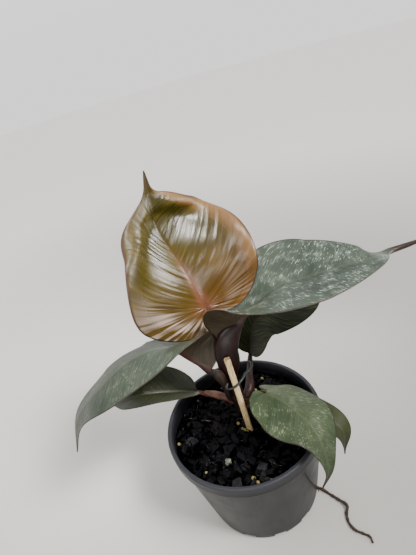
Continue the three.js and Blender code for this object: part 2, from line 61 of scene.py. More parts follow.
# Soil, in mm: the bed's grid, and what the photo shows on it, at x and y and, for beads, of that size
SOIL_TOP = 86
BED_RINGS = 84
BED_SPOKES = 220
BED_GAP, FOOT_GAP = 0.3, 0.4
CHIP_FACES = [(0, 1, 3, 2), (4, 6, 7, 5), (0, 4, 5, 1), (2, 3, 7, 6), (0, 2, 6, 4), (1, 5, 7, 3)]
CHIP_SPREAD = 0.22
SMALL_CHIPS = 760
LARGE_CHIPS = [
    (-24.9, -0.3), (-30.6, -13.5), (-18.7, -22.4), (-14.9, -19.9), (-2.3, -37), (-23.6, -39.6),
    (-10.1, -39.7), (-47.9, -1.5), (-17.4, 22.5), (-22.8, 29.3), (-32, 17.5), (-10.4, -14.6), (-2.2, -29.8),
    (3.9, -43.4), (-40.3, -22.6), (-41, 11.9), (-8.3, -48.7), (-18, -50.6), (2.5, -48.8),
]
FIBRES = 70
FIBRE_STEP = 2.4
FEED_PRILLS = [
    (-5.1, 1, 1.1), (-2.6, -6.2, 1), (-0.9, -8.3, 1.1), (1, -9.5, 0.9), (-58, -1.3, 1.1), (-2.2, -54, 1),
    (-4.7, -49.9, 1.2), (-38.8, -34.7, 0.9), (27, 44, 1), (44, 12, 1.1), (18, 33, 0.9),
]
PALE_GRIT = [
    (-20.4, -31, 2.2), (24.2, 30.7, 1.1), (49.8, 38.5, 1.4), (7.8, -54.6, 0.9), (19.4, 54, 1), (34, 22, 0.6),
    (-36, 40, 0.8), (-12, 47, 0.6),
]

# Leaves, in mm and degrees, as in the solid part
LEAVES = {
    "young": dict(
        midrib=[(-2, 17.5, 198), (-9, 22, 230), (-19, 30.5, 263.5), (-17, 27, 286), (-14, 22, 306.5)],
        facing=[(0.25, -0.95, 0.2), (0.25, -0.95, 0.3), (0.2, -0.8, 0.5), (0.4, -0.85, 0.15)],
        half_width=53.5, widest_at=36, lobe_length=12.5, lobe_width=21, tail_length=16.5, tail_width=3.5,
        fullness=0.7, folds=([0, 20, 40, 15], [2, 13, -19, -5]), curls=([-5, 10, -3], [3, -3, 0]),
        left_lobe_length=18, left_lobe_width=9, lip=(3.5, 5, 18), neck_round=7, sinus=-6, lean=(0.2, 0.04),
        stalk=[(-3.5, 17.2, 114), (-3.2, 17.7, 130), (-2.7, 18.8, 156), (-3, 20, 184)],
        stalk_radii=[2.8, 3, 2.6, 2.2],
    ),
    "right": dict(
        midrib=[(17, 12.5, 179), (29, 13, 188), (52, 10, 202.5), (80.5, 3, 208), (117.5, 2, 209),
                (139.5, 15.5, 201), (165, 11.5, 205.5)],
        facing=[(-0.6, -0.05, 0.8), (-0.15, 0.1, 1.05), (-0.15, -0.15, 0.9), (-0.1, 0.1, 1)],
        half_width=44, widest_at=34.5, lobe_length=17.5, lobe_width=8.5, tail_length=28, tail_width=3,
        fullness=0.1, folds=([8, 23, 14, -18], [92, 11, 5, -11]), curls=([-2, -2, 1], [2, -2, 0]),
        tail_roll=1.9,
        stalk=[(-0.6, 10.3, 115.5), (-0.2, 10, 126.6), (0.4, 9.4, 133.9), (1.2, 8.8, 142), (2.3, 8.3, 150.7),
               (2.8, 8.3, 159), (5.7, 9, 167.6), (10.3, 10.6, 172.7)],
        stalk_radii=[4.5, 4.6, 5.6, 8.1, 9.2, 9.2, 9.4, 7.6, 3],
        stalk_depths=[3.6, 3.5, 3.5, 3.5, 3.6, 3.5, 3.4, 3.2, 2.4],
    ),
    "left": dict(
        midrib=[(-13, 7.5, 146.5), (-26, 12.5, 160), (-39.5, 5, 183), (-63, -2.5, 187.5), (-92.5, -7, 174),
                (-120, -4, 148.5), (-133.5, -6, 116.5)],
        facing=[(0.5, 0.25, 0.8), (-0.1, 0.05, 1), (-0.05, 0.05, 1), (-0.85, -0.2, 0.55)],
        half_width=29.5, widest_at=47.5, lobe_length=0.5, lobe_width=18, tail_length=16, tail_width=4,
        fullness=0.4, folds=([98, 60, 6, -8, -11, -16.5, -20], [37, -17, 0, 4]),
        curls=([1, -12, -2], [-5, -9, -3]), left_lobe_length=-1,
        stalk=[(-2, 11, 104), (-5.6, 5.8, 115), (-5.6, 4.2, 129), (-6.9, 3.8, 137), (-9.2, 4.8, 143.6)],
        stalk_radii=[2.5, 2.5, 2.6, 3.2, 4.3, 3], stalk_depths=[2.4, 2.4, 2.2, 2, 1.8, 1.6],
    ),
    "back": dict(
        midrib=[(22.5, 47, 117), (30, 49.5, 140.5), (42, 52.5, 150), (73, 56, 155), (104, 90.5, 151)],
        facing=[(-0.3, -0.7, 0.45), (-0.25, -0.55, 0.85), (0.05, -0.4, 0.95), (0.3, -0.15, 1)],
        half_width=27.5, widest_at=46.5, lobe_length=0.5, lobe_width=3, tail_length=11, tail_width=2,
        fullness=0.45, folds=([2, 17, 6], [43, 15, 8]), curls=([-6, 1, 1], [5, -1, 1]),
        stalk=[(4, 15, 95), (12.4, 22, 100.3), (16, 32, 105), (20, 42, 111.5)],
        stalk_radii=[3.2, 4.2, 3, 2.2],
    ),
    "smallLeft": dict(
        midrib=[(-33, 30.5, 107), (-60, 26.5, 120), (-83, 24, 127.5), (-108.5, 31.5, 118)],
        facing=[(-0.05, -0.05, 1), (-0.05, -0.2, 1), (0, -0.35, 1)],
        half_width=25, widest_at=25, lobe_length=0.5, lobe_width=7, tail_length=6.5, tail_width=2,
        fullness=0.4, folds=([34, 32, 12], [11, 21, 20]), curls=([1, 3, 0], [-1, 1, 0]),
        stalk=[(-2, 15.5, 96), (-12, 21, 99.5), (-24, 27.5, 102), (-32, 30.2, 105.5)],
        stalk_radii=[2.2, 2, 1.9, 1.7],
    ),
    "front": dict(
        midrib=[(23, -10.5, 125), (35.5, -23.5, 121), (47, -46, 112), (48, -66, 97.5), (40, -70.5, 82)],
        facing=[(0.3, -0.3, 0.85), (0.4, -0.55, 0.75), (0.45, -0.9, 0), (0.3, -0.95, 0)],
        half_width=28.5, widest_at=23, lobe_length=8.5, lobe_width=5.5, tail_length=10, tail_width=2,
        fullness=0.2, folds=([-35, -5, 9], [0, 3, 15]), curls=([-4, -9, 1], [-1, -5, 1]),
        stalk=[(3, 13, 98), (9, 4, 105), (16, -5, 114.5), (22, -9.8, 122.5)], stalk_radii=[2.4, 2.2, 2, 1.8],
    ),
    "smallRight": dict(
        midrib=[(37.5, -7.5, 101), (55, -22, 101.5), (69.5, -38, 93.5), (67, -46, 76)],
        facing=[(-0.25, -0.35, 0.95), (0.35, -0.35, 0.75), (0.65, -0.6, 0.4), (0.7, -0.7, 0.05)],
        half_width=13.5, widest_at=26.5, lobe_length=4.5, lobe_width=5, tail_length=5, tail_width=1.5,
        fullness=0.5, folds=([5, 3, 19], [17, 5, 3]), curls=([2, 0, 1], [2, -1, -3]),
        stalk=[(4, 13, 92), (14, 6, 94), (27, -2, 96), (36.5, -8.5, 100)], stalk_radii=[2.2, 1.9, 1.7, 1.5],
    ),
}
RIB = 1.5
STALK_REACH = 0.06
NECK_ROUND = 2.0

# Blades, in mm; sizes of the rib at the tip, with what they gain towards the base
TIP_FADE, MARGIN_FADE, RIB_FADE = 30, 4, 12
EDGE_HALF_THICK, MIDDLE_GAIN = 0.26, 0.1
UNDER_RELIEF = 0.8
GROOVE_DEPTH, GROOVE_HALF_WIDTH = 0.55, 1.4
RIB_HEIGHT = (0.5, 1.6)
RIB_HALF_WIDTH = (0.6, 0.9)
RIPPLES = (2.3, 3.7, 5.9)

# Raised lip: the left half's shares of its height, crest and inner foot; its start and end, in mm; its share
# low on each half, and where along the blade it is up. Then where along a tail the roll begins and is full
LEFT_LIP = (0.8, 1.7, 1.35)
LIP_START, LIP_END = (5, 25), 12
LIP_LOW = (0.25, 0.55)
LIP_RISE = (0.35, 0.62)
TAIL_ROLL_RUN = (1.25, 0.9)

# Limbs, in mm
CURVE_STEPS = 30
FIRST_SIDE = (0.3, 0.2, 0.9)
OFF_FLOOR = 0.02
STEM_PATH = [(2, 15, 70), (2, 14.5, 86), (1, 14, 102), (-0.5, 13.5, 117)]
STEM_RADII = [6.2, 6, 5.6, 6.4]
WIRE_RADIUS = 1
TIE_PATH = [
    (-3.6, 0.6, 134.4), (-5.2, -1.6, 132.8), (-3.4, -3.9, 132.8), (0.4, -4.7, 133.8), (4.2, -4.5, 135.6),
    (8.2, -2.2, 137.2), (12, 2.8, 137), (15.7, 9, 133.4), (19.2, 16.2, 130.4), (19.4, 23, 128.4),
    (14.5, 26.5, 126.8), (8, 26.5, 127.6), (1.5, 24.8, 128.2), (-4.4, 23.2, 128), (-8.4, 19, 127.2),
    (-9, 14, 126.8), (-7.7, 9.6, 127.2),
]
ROOT_PATH = [
    (44.6, -19.2, 1.6), (50, -24.3, 1.35), (57, -33.5, 1.4), (63, -42, 2.6), (63.2, -45.6, 2.8),
    (60.5, -49.6, 1.5), (59.4, -56.7, 1.3), (61.6, -63.1, 1.3), (66.9, -67.8, 1.3), (70.3, -71.1, 1.4),
    (70.4, -75.8, 1.2),
]
ROOT_RADII = [1.3, 1.2, 1.25, 1.2, 1.1, 0.9]
SHEATH_PATH = [(-7.5, 18.9, 99.6), (-15, 23, 101.9), (-21, 26.3, 103), (-26, 28.6, 104)]
SHEATH_RADII = [3.2, 3.1, 2.9, 2]
SHEATH_ROWS, SHEATH_COLUMNS = 60, 22
SHEATH_THICKNESS = 0.4
THREAD_PATH = [(45.5, -25.5, 4), (44.2, -29.6, 17), (42, -36.5, 31), (38.6, -43, 46.9), (35.6, -48.3, 62.7),
               (33.1, -52.1, 76.5)]
THREAD_RADII = [0.5, 0.45, 0.4, 0.3]

# Floor in mm, aims of the lights in metres, and the camera: mm, degrees and pixels of the photo
FLOOR_RADIUS = 4000
FLOOR_SIDES = 96
PLANT_MIDDLE = (0, 0, 0.18)
NEW_LEAF = (-0.01, 0.025, 0.25)
ROOM_STRENGTH = 1.65
PHOTO_HEIGHT = 555
SENSOR = 36
FOCAL_PIXELS = 417.4
CAMERA_PITCH = 30.4
CAMERA_ROLL = 16.6
CAMERA_PLACE = (5.5, -239.5, 373.0)


# Materials

class Socket:
    """A value inside a material, with Python's own arithmetic."""

    def __init__(self, finish, link):
        self.finish = finish
        self.link = link

    def __add__(self, other):
        return self.finish.math("ADD", self, other)

    def __sub__(self, other):
        return self.finish.math("SUBTRACT", self, other)

    def __rsub__(self, other):
        return self.finish.math("SUBTRACT", other, self)

    def __mul__(self, other):
        return self.finish.math("MULTIPLY", self, other)

    def __pow__(self, other):
        return self.finish.math("POWER", self, other)

    def __rpow__(self, other):
        return self.finish.math("POWER", other, self)

    def __abs__(self):
        return self.finish.math("ABSOLUTE", self)

    __radd__ = __add__
    __rmul__ = __mul__


class Finish:
    """A material, or the room's light, built node by node."""

    def __init__(self, name, owner=None):
        self.material = owner or bpy.data.materials.new(name)
        self.material.use_nodes = True
        self.tree = self.material.node_tree
        self.tree.nodes.clear()

    def node(self, kind, settings=None, values=None, out=0):
        """One output of a new node with these settings, and values or links for its sockets."""
        made = self.tree.nodes.new(kind)
        for key, value in (settings or {}).items():
            setattr(made, key, value)
        for key, value in (values or {}).items():
            socket = made.inputs[key]
            if isinstance(value, Socket):
                self.tree.links.new(value.link, socket)
            else:
                socket.default_value = value
        return Socket(self, made.outputs[out]) if len(made.outputs) else None

    def math(self, operation, a, b=0.0):
        return self.node("ShaderNodeMath", {"operation": operation}, {0: a, 1: b})

    def clamp(self, value):
        """The value, kept between 0 and 1."""
        return self.node("ShaderNodeClamp", None, {0: value})

    def step(self, value, low, high):
        """0 below low, 1 above high, smooth between."""
        return self.node("ShaderNodeMapRange", {"interpolation_type": "SMOOTHSTEP"},
                         {0: value, 1: low, 2: high})

    def mark(self, name):
        """The three numbers that a mesh keeps at each point under that name."""
        return self.node("ShaderNodeAttribute", {"attribute_name": name}, out=1)

    def part(self, vector, axis):
        return self.node("ShaderNodeSeparateXYZ", None, {0: vector}, out=axis)

    def dot(self, vector, direction):
        return self.node("ShaderNodeVectorMath", {"operation": "DOT_PRODUCT"},
                         {0: vector, 1: direction}, out=1)

    def here(self):
        """Place on the piece, in metres."""
        return self.node("ShaderNodeTexCoord", out=3)

    def noise(self, vector, scale, detail=3.0, rough=0.5):
        """Cloudy value round 0.5, with one scale or one for each direction."""
        if isinstance(scale, tuple):
            vector = self.node("ShaderNodeVectorMath", {"operation": "MULTIPLY"}, {0: vector, 1: scale})
            scale = 1.0
        return self.node("ShaderNodeTexNoise", None,
                         {"Vector": vector, "Scale": scale, "Detail": detail, "Roughness": rough})

    def mix(self, amount, first, second):
        return self.node("ShaderNodeMix", {"data_type": "RGBA"}, {0: amount, 6: first, 7: second}, out=2)

    def bump(self, height, strength, depth):
        """Normal of a surface as rough as that height, with its depth in mm."""
        return self.node("ShaderNodeBump", None,
                         {"Height": height, "Strength": strength, "Distance": depth * MM})

    def done(self, colour, roughness, normal, shine=0.5, ior=1.5):
        """The finished material; shine is how strongly it mirrors light."""
        surface = self.node("ShaderNodeBsdfPrincipled", None, {
            "Base Color": colour, "Roughness": roughness, "Normal": normal,
            "Specular IOR Level": shine, "IOR": ior})
        self.node("ShaderNodeOutputMaterial", None, {"Surface": surface})
        return self.material


def rgb(red, green, blue):
    """Colour as seen, 0 to 255, turned into light."""
    def light(v):
        v = v / 255
        return v / 12.92 if v <= 0.04045 else ((v + 0.055) / 1.055) ** 2.4
    return (light(red), light(green), light(blue), 1.0)


# Shapes

def unit(v):
    return v / np.linalg.norm(v, axis=-1, keepdims=True)


def smooth(x, low, high):
    """0 below low, 1 above high, smooth between."""
    t = np.clip((x - low) / (high - low), 0, 1)
    return t * t * (3 - 2 * t)


def between(before, start, end, after, t):
    """Place at t, 0 to 1, from start to end on a smooth curve through all four."""
    return 0.5 * (2 * start + (end - before) * t + (2 * before - 5 * start + 4 * end - after) * t ** 2
                  + (3 * start - before - 3 * end + after) * t ** 3)


def round_bend(start, corner, end, t):
    """Place at t, 0 to 1, on the round way from start to end that a corner gives."""
    return (1 - t) ** 2 * start + 2 * t * (1 - t) * corner + t ** 2 * end


def along(values, x):
    """Smooth value from evenly spaced ones, x from 0 to 1."""
    values = np.asarray(values, float)
    last = len(values) - 1
    u = np.clip(x, 0, 1) * last
    i = np.clip(np.floor(u).astype(int), 0, last - 1)
    before, after = values[np.clip(i - 1, 0, last)], values[np.clip(i + 2, 0, last)]
    return between(before, values[i], values[i + 1], after, u - i)


def run_of(line):
    """Distance of each point along a line."""
    return np.concatenate([[0], np.cumsum(np.linalg.norm(np.diff(line, axis=0), axis=1))])


def points_at(x, run, line):
    """Points at the distances x along a line whose own points lie at the distances run."""
    return np.stack([np.interp(x, run, line[:, k]) for k in range(line.shape[1])], -1)


def through(points, count):
    """Smooth line through points, evenly spaced, and the distance along it."""
    p = np.array(points, float)
    p = np.vstack([2 * p[0] - p[1], p, 2 * p[-1] - p[-2]])
    t = np.linspace(0, 1, CURVE_STEPS, endpoint=False)[:, None]
    line = np.concatenate([between(*p[i:i + 4], t) for i in range(len(p) - 3)] + [p[-2:-1]])
    run = run_of(line)
    even = np.linspace(0, run[-1], count)
    return points_at(even, run, line), even


def piece(name, points, faces, finish, smooth=True, marks=None):
    """Mesh object from points in mm."""
    mesh = bpy.data.meshes.new(name)
    mesh.from_pydata((np.asarray(points, float) * MM).tolist(), [], faces)
    mesh.update()
    for key, values in (marks or {}).items():
        mesh.attributes.new(key, "FLOAT_VECTOR", "POINT").data.foreach_set(
            "vector", np.asarray(values, float).ravel())
    mesh.polygons.foreach_set("use_smooth", [smooth] * len(mesh.polygons))
    for material in finish if isinstance(finish, list) else [finish]:
        mesh.materials.append(material)
    made = bpy.data.objects.new(name, mesh)
    bpy.context.scene.collection.objects.link(made)
    return made


def ring_faces(rings, sides):
    """Faces of a tube whose rings of points follow each other, then one point for each closed end."""
    around = [(k, (k + 1) % sides) for k in range(sides)]
    last = (rings - 1) * sides
    faces = [(a + k, a + n, a + sides + n, a + sides + k) for a in range(0, last, sides) for k, n in around]
    for k, n in around:
        faces += [(last + sides, n, k), (last + sides + 1, last + k, last + n)]
    return faces


def sheet_faces(rows, columns):
    """Faces of a grid of points, and each pair of neighbours round its border."""
    starts = [i * columns + k for i in range(rows - 1) for k in range(columns - 1)]
    faces = [(v, v + 1, v + columns + 1, v + columns) for v in starts]
    border = [(0, k) for k in range(columns - 1)] + [(i, columns - 1) for i in range(rows - 1)]
    border += [(rows - 1, k) for k in range(columns - 1, 0, -1)] + [(i, 0) for i in range(rows - 1, 0, -1)]
    order = [i * columns + k for i, k in border]
    return faces, list(zip(order, order[1:] + order[:1]))


def gathered(bodies):
    """Points and faces of many small bodies, as those of one."""
    points, faces = [], []
    for corners, sides in bodies:
        faces += [tuple(len(points) + v for v in side) for side in sides]
        points += list(corners)
    return points, faces


def tube(points, radii, sides, rings, wobble=None, depths=None):
    """Points and faces of a limb with closed ends, round or, with depths, flattened towards the front."""
    line, run = through(points, rings)
    forward = unit(np.gradient(line, axis=0))
    if depths is None:
        wide = [np.cross(forward[0], FIRST_SIDE)]
        for f in forward:
            turned_on = wide[-1] - f * (wide[-1] @ f)
            wide.append(turned_on / np.linalg.norm(turned_on))
        wide = np.array(wide[1:])
    else:
        wide = unit(np.cross((0, 1, 0), forward))
    deep = np.cross(forward, wide)
    angle = np.linspace(0, 2 * math.pi, sides, endpoint=False)[None]
    place = run / run[-1]
    swell = 1 if wobble is None else 1 + wobble(run[:, None], angle)
    width = along(radii, place)[:, None] * np.cos(angle) * swell
    depth = along(radii if depths is None else depths, place)[:, None] * np.sin(angle) * swell
    rings_at = line[:, None] + width[..., None] * wide[:, None] + depth[..., None] * deep[:, None]
    return np.vstack([rings_at.reshape(-1, 3), line[:1], line[-1:]]), ring_faces(rings, sides)


def soft_corner(line, corner, reach):
    """The line with its corner rounded off over that reach to each side."""
    run = run_of(line)
    run = run - run[corner]
    near = np.abs(run) < reach
    start, end = points_at([-reach, reach], run, line)
    soft = line.copy()
    soft[near] = round_bend(start, line[corner], end, ((run[near] + reach) / (2 * reach))[:, None])
    return soft


class BentLeaf:
    """A flat heart outline bent along its midrib, as in the solid part but finer."""

    ROWS = (16, 44, 108, 32)
    COLUMNS = 26
    CROWDING = 1.25
    MIDRIB_POINTS = 160
    BEND_STEPS = 10
    VEIN_SLANT, VEIN_BOW = 0.7, 0.1
    BASE_SPREAD = 0.06
    FAN = (0.6, 0.4)

    def __init__(self, shape):
        self.shape = shape
        self.line, self.run = through(shape["midrib"], self.MIDRIB_POINTS)
        self.length = self.run[-1]
        self.forward = unit(np.gradient(self.line, self.run, axis=0))

    def outline(self, side=1):
        """Margin of one half from the stalk's notch to the tip, as in the solid part."""
        s = self.shape
        wide, at, full = s["half_width"], s["widest_at"], s["fullness"]
        tail, thin = s["tail_length"], s["tail_width"]
        back, lobe = s["lobe_length"], s["lobe_width"]
        if side < 0:
            back, lobe = s.get("left_lobe_length", back), s.get("left_lobe_width", lobe)
        neck = self.length - tail
        taper = neck - at
        swell = (0.04 + 0.5 * full) * wide
        curves = [
            [(s.get("sinus", 0), 0.6), (-0.55 * back, 0.6 + 0.04 * wide),
             (-back, 0.45 * lobe), (-back, lobe)],
            [(-back, lobe), (-back, lobe + 0.6 * (wide - lobe)), (at - 0.5 * (at + back), wide), (at, wide)],
            [(at, wide), (at + (0.35 + 0.4 * full) * taper, wide),
             (neck - (0.32 - 0.25 * full) * taper, thin + swell), (neck, thin)],
            [(neck, thin), (neck + 0.2 * tail, thin * 0.75), (self.length - 0.4 * tail, thin * 0.5),
             (self.length, 0.35)],
        ]
        parts = []
        for k, (four, count) in enumerate(zip(curves, self.ROWS)):
            p0, p1, p2, p3 = np.array(four, float)
            t = np.linspace(0, 1, count + 1)[(1 if k else 0):, None]
            parts.append((1 - t) ** 3 * p0 + 3 * (1 - t) ** 2 * t * p1
                         + 3 * (1 - t) * t ** 2 * p2 + t ** 3 * p3)
        edge = soft_corner(np.concatenate(parts), sum(self.ROWS[:3]), s.get("neck_round", NECK_ROUND))
        place = np.linspace(0, 1, len(edge))
        ahead = place + s.get("lean", (0, 0))[0 if side < 0 else 1] * np.sin(math.pi * place)
        return points_at(ahead, place, edge)

    def frame_at(self, a):
        """Centre, direction across and normal of the blade at distances a along its midrib."""
        inside = np.clip(a, 0, self.length)
        centre = points_at(inside, self.run, self.line)
        forward = unit(points_at(inside, self.run, self.forward))
        facing = np.stack([along(turn, inside / self.length) for turn in zip(*self.shape["facing"])], -1)
        normal = unit(facing - (facing * forward).sum(-1)[..., None] * forward)
        centre = centre + forward * np.minimum(a, 0)[..., None]
        return centre, np.cross(forward, normal), normal

    def place(self, a, b, side):
        """Points of the bent blade at a along the midrib and b out from it."""
        s = self.shape
        centre, across, normal = self.frame_at(a)
        x = (a + s["lobe_length"]) / (self.length + s["lobe_length"])
        half = 0 if side < 0 else 1
        fold = np.radians(along(s["folds"][half], x))
        curl = np.radians(along(s["curls"][half], x))
        out = np.zeros_like(b)
        up = np.zeros_like(b)
        for i in range(self.BEND_STEPS):
            angle = fold + curl * (b / s["half_width"]) * (i + 0.5) / self.BEND_STEPS
            out += np.cos(angle) * b / self.BEND_STEPS
            up += np.sin(angle) * b / self.BEND_STEPS
        return centre + side * out[..., None] * across + up[..., None] * normal

    def margin_distance(self, flat, side):
        """How far points of the flat half lie from its margin."""
        edge = self.outline(side)
        along_it = flat[..., None, 0] - edge[:, 0]
        across_it = np.abs(flat[..., None, 1]) - edge[:, 1]
        return np.hypot(along_it, across_it).min(-1)

    def half(self, side):
        """Grids of points, flat places and vein places: rows follow the margin, columns run out to it."""
        edge = self.outline()
        x = edge[:, 0] - self.VEIN_SLANT * edge[:, 1]
        anchor = 0.5 * (x + np.sqrt(x ** 2 + (self.BASE_SPREAD * self.length) ** 2))
        anchor = np.maximum.accumulate(anchor)
        anchor = (anchor - anchor[0]) / (anchor[-1] - anchor[0]) * self.length
        fan = (self.FAN[0] * anchor + self.FAN[1] * run_of(edge))[:, None]
        edge = self.outline(side)
        t = np.linspace(0, 1, self.COLUMNS + 1) ** self.CROWDING
        run = (edge[:, 0] - anchor)[:, None]
        rise = edge[:, 1][:, None]
        bow = self.VEIN_BOW * t * (1 - t)
        a = anchor[:, None] + run * t - rise * bow
        b = np.maximum(rise * t + run * bow, 0)
        flat = np.stack([a, b * side, np.zeros_like(a)], -1)
        vein = np.stack(np.broadcast_arrays(fan, t, float(side)), -1)
        return self.place(a, b, side), flat, vein


def leaf_mesh(leaf, relief):
    """Points, faces and marks of a closed blade with its rib, and how many faces are the upper side's."""
    left, flat_left, vein_left = leaf.half(-1)
    right, flat_right, vein_right = leaf.half(1)
    middle, flat, vein, margin = (np.concatenate([l[:, :0:-1], r], axis=1) for l, r in (
        (left, right), (flat_left, flat_right), (vein_left, vein_right),
        (leaf.margin_distance(flat_left, -1), leaf.margin_distance(flat_right, 1))))
    rows, columns = middle.shape[:2]
    normal = np.cross(np.gradient(middle, axis=1), np.gradient(middle, axis=0))
    normal = normal / (np.linalg.norm(normal, axis=-1, keepdims=True) + 1e-9)
    a, b = flat[..., 0], np.abs(flat[..., 1])
    fan, t, side = (vein[..., k] for k in range(3))
    fade = np.clip((leaf.length - a) / TIP_FADE, 0, 1) * smooth(margin, 0, MARGIN_FADE)
    height = relief(fan, t, side) * fade + lip_height(leaf, a, side, margin)
    towards_base = np.clip(1 - a / leaf.length, 0, 1)
    groove = -GROOVE_DEPTH * np.exp(-(b / GROOVE_HALF_WIDTH) ** 2) * towards_base
    half_thick = EDGE_HALF_THICK + MIDDLE_GAIN * (1 - t) + tail_roll(leaf, a, t)
    rib_height = RIB_HEIGHT[0] + RIB_HEIGHT[1] * towards_base
    rib_width = RIB_HALF_WIDTH[0] + RIB_HALF_WIDTH[1] * towards_base
    rib = rib_height * np.exp(-(b / rib_width) ** 2) * np.clip((leaf.length - a) / RIB_FADE, 0, 1)
    top = middle + normal * (height + groove + half_thick)[..., None]
    under = middle + normal * (height * UNDER_RELIEF - half_thick - rib)[..., None]
    upper, border = sheet_faces(rows, columns)
    count = rows * columns
    rim = [(w, v, v + count, w + count) for v, w in border]
    lower = [tuple(count + v for v in reversed(face)) for face in upper]
    points = np.concatenate([top.reshape(-1, 3), under.reshape(-1, 3)])
    marks = {name: np.tile(values.reshape(-1, 3), (2, 1))
             for name, values in (("flat", flat), ("vein", vein))}
    return points, upper + rim + lower, marks, len(upper + rim)


def lip_height(leaf, a, side, margin):
    """Height in mm of the raised lip inside the margin of a leaf that is still cupped."""
    lip = leaf.shape.get("lip")
    if lip is None:
        return 0
    height, crest, inner = (np.where(side < 0, value * share, value) for value, share in zip(lip, LEFT_LIP))
    outside = np.sin(np.clip(margin / crest, 0, 1) * math.pi / 2)
    profile = np.where(margin < crest, outside, 1 - smooth(margin, crest, inner))
    neck = leaf.length - leaf.shape["tail_length"]
    ends = np.clip((a + LIP_START[0]) / LIP_START[1], 0, 1) * np.clip((neck - a) / LIP_END, 0, 1)
    low = np.where(side < 0, *LIP_LOW)
    rise = smooth(a, LIP_RISE[0] * leaf.length, LIP_RISE[1] * leaf.length)
    return height * profile * ends * (low + (1 - low) * rise)


def tail_roll(leaf, a, t):
    """Extra thickness in mm of a tail that is rolled up, round across and thinner towards its tip."""
    tail = leaf.shape["tail_length"]
    grown = smooth(a, leaf.length - TAIL_ROLL_RUN[0] * tail, leaf.length - TAIL_ROLL_RUN[1] * tail)
    grown = grown * np.sqrt(np.clip((leaf.length - a) / tail, 0, 1))
    return leaf.shape.get("tail_roll", 0) * grown * np.sqrt(np.clip(1 - t ** 2, 0, 1))


def relief_of(size, spacing, seed):
    """Height of the blade's surface in mm: quilted unevenly between side veins, with ripples along them."""
    def relief(fan, t, side):
        drift = 0.8 * np.sin(fan * 0.13 + seed) + side * 1.7 + 0.35 * np.sin(6 * t + 0.9 * fan)
        place = fan + drift
        spread = np.clip(t / 0.12, 0, 1) * (1 - 0.3 * t)
        valley = -np.abs(np.cos(math.pi * place / spacing)) ** 6
        valley = valley * (0.65 + 0.35 * np.sin(0.41 * fan + 2 * seed + 3 * t))
        waves = zip(RIPPLES, (seed, 2.1 * seed, 0.4))
        ripple = sum(np.sin(2 * math.pi * place / length + shift) for length, shift in waves) / len(RIPPLES)
        ripple = ripple * (0.7 + 0.5 * np.sin(0.23 * fan + seed) * np.sin(4 * t + 0.31 * fan))
        return size * spread * (0.5 * valley + 0.5 * ripple)
    return relief


# Leaf finishes, where a runs along the midrib and out from it, in mm, and t from rib to margin

def bronzed(skin, colour, tones, length, slow, vein, a, t, out):
    """The newest leaf's colour: copper margin and lobes, pale streaks of painted sheen between veins, blush
    by the stalk.
    """
    near_edge = skin.step(t, 0.68, 0.97)
    low = 1 - skin.step(a, -4, 0.5 * length)
    right = skin.step(skin.part(vein, 2), -0.2, 0.2)
    copper = skin.clamp(near_edge * (0.1 + 0.9 * right) + low * (0.34 + 0.36 * right))
    colour = skin.mix(copper * (0.7 + 0.5 * (slow - 0.5)), colour, tones["copper"])
    # Painted highlight: pale streaks between the veins, low on the blade and strongest on its left half
    painted_sheen = skin.noise(vein, (0.62, 0.7, 5.0), 3)
    sector = skin.noise(vein, (0.07, 1.6, 5.0), 1)
    pale = skin.step(painted_sheen * 0.6 + sector * 0.4, 0.435, 0.585) * (low ** 1.5) * skin.step(t, 0.25, 0.6)
    colour = skin.mix(pale * (0.85 - 0.58 * right), colour, tones["painted_sheen"])
    by_rib = (1 - skin.step(out, 0.8, 6.0)) * (1 - skin.step(a, 0.05 * length, 0.55 * length))
    by_stalk = (1 - skin.step(out + abs(a), 2, 24)) * 0.6
    return skin.mix(skin.clamp(by_rib + by_stalk) * 0.7, colour, tones["blush"])


def flecked(skin, colour, fleck, strength, vein, flat, t):
    """Colour with pale specks along the veins, in patches, and a faint pale mottle of painted sheen."""
    specks = skin.noise(vein, (1.15, 7.5, 3.0), 2, 0.6)
    patches = skin.noise(flat, 0.07, 2)
    cloudy_noise = skin.noise(flat, 0.22, 3)
    # Painted sheen: faint pale patches in the fleck tone
    colour = skin.mix(skin.step(cloudy_noise * 0.5 + patches * 0.5, 0.5, 0.66) * 0.22 * strength, colour, fleck)
    specks = skin.step(specks + 0.3 * (patches - 0.5) + 0.07 * (t - 0.5), 0.6, 0.68)
    return skin.mix(specks * strength, colour, fleck)


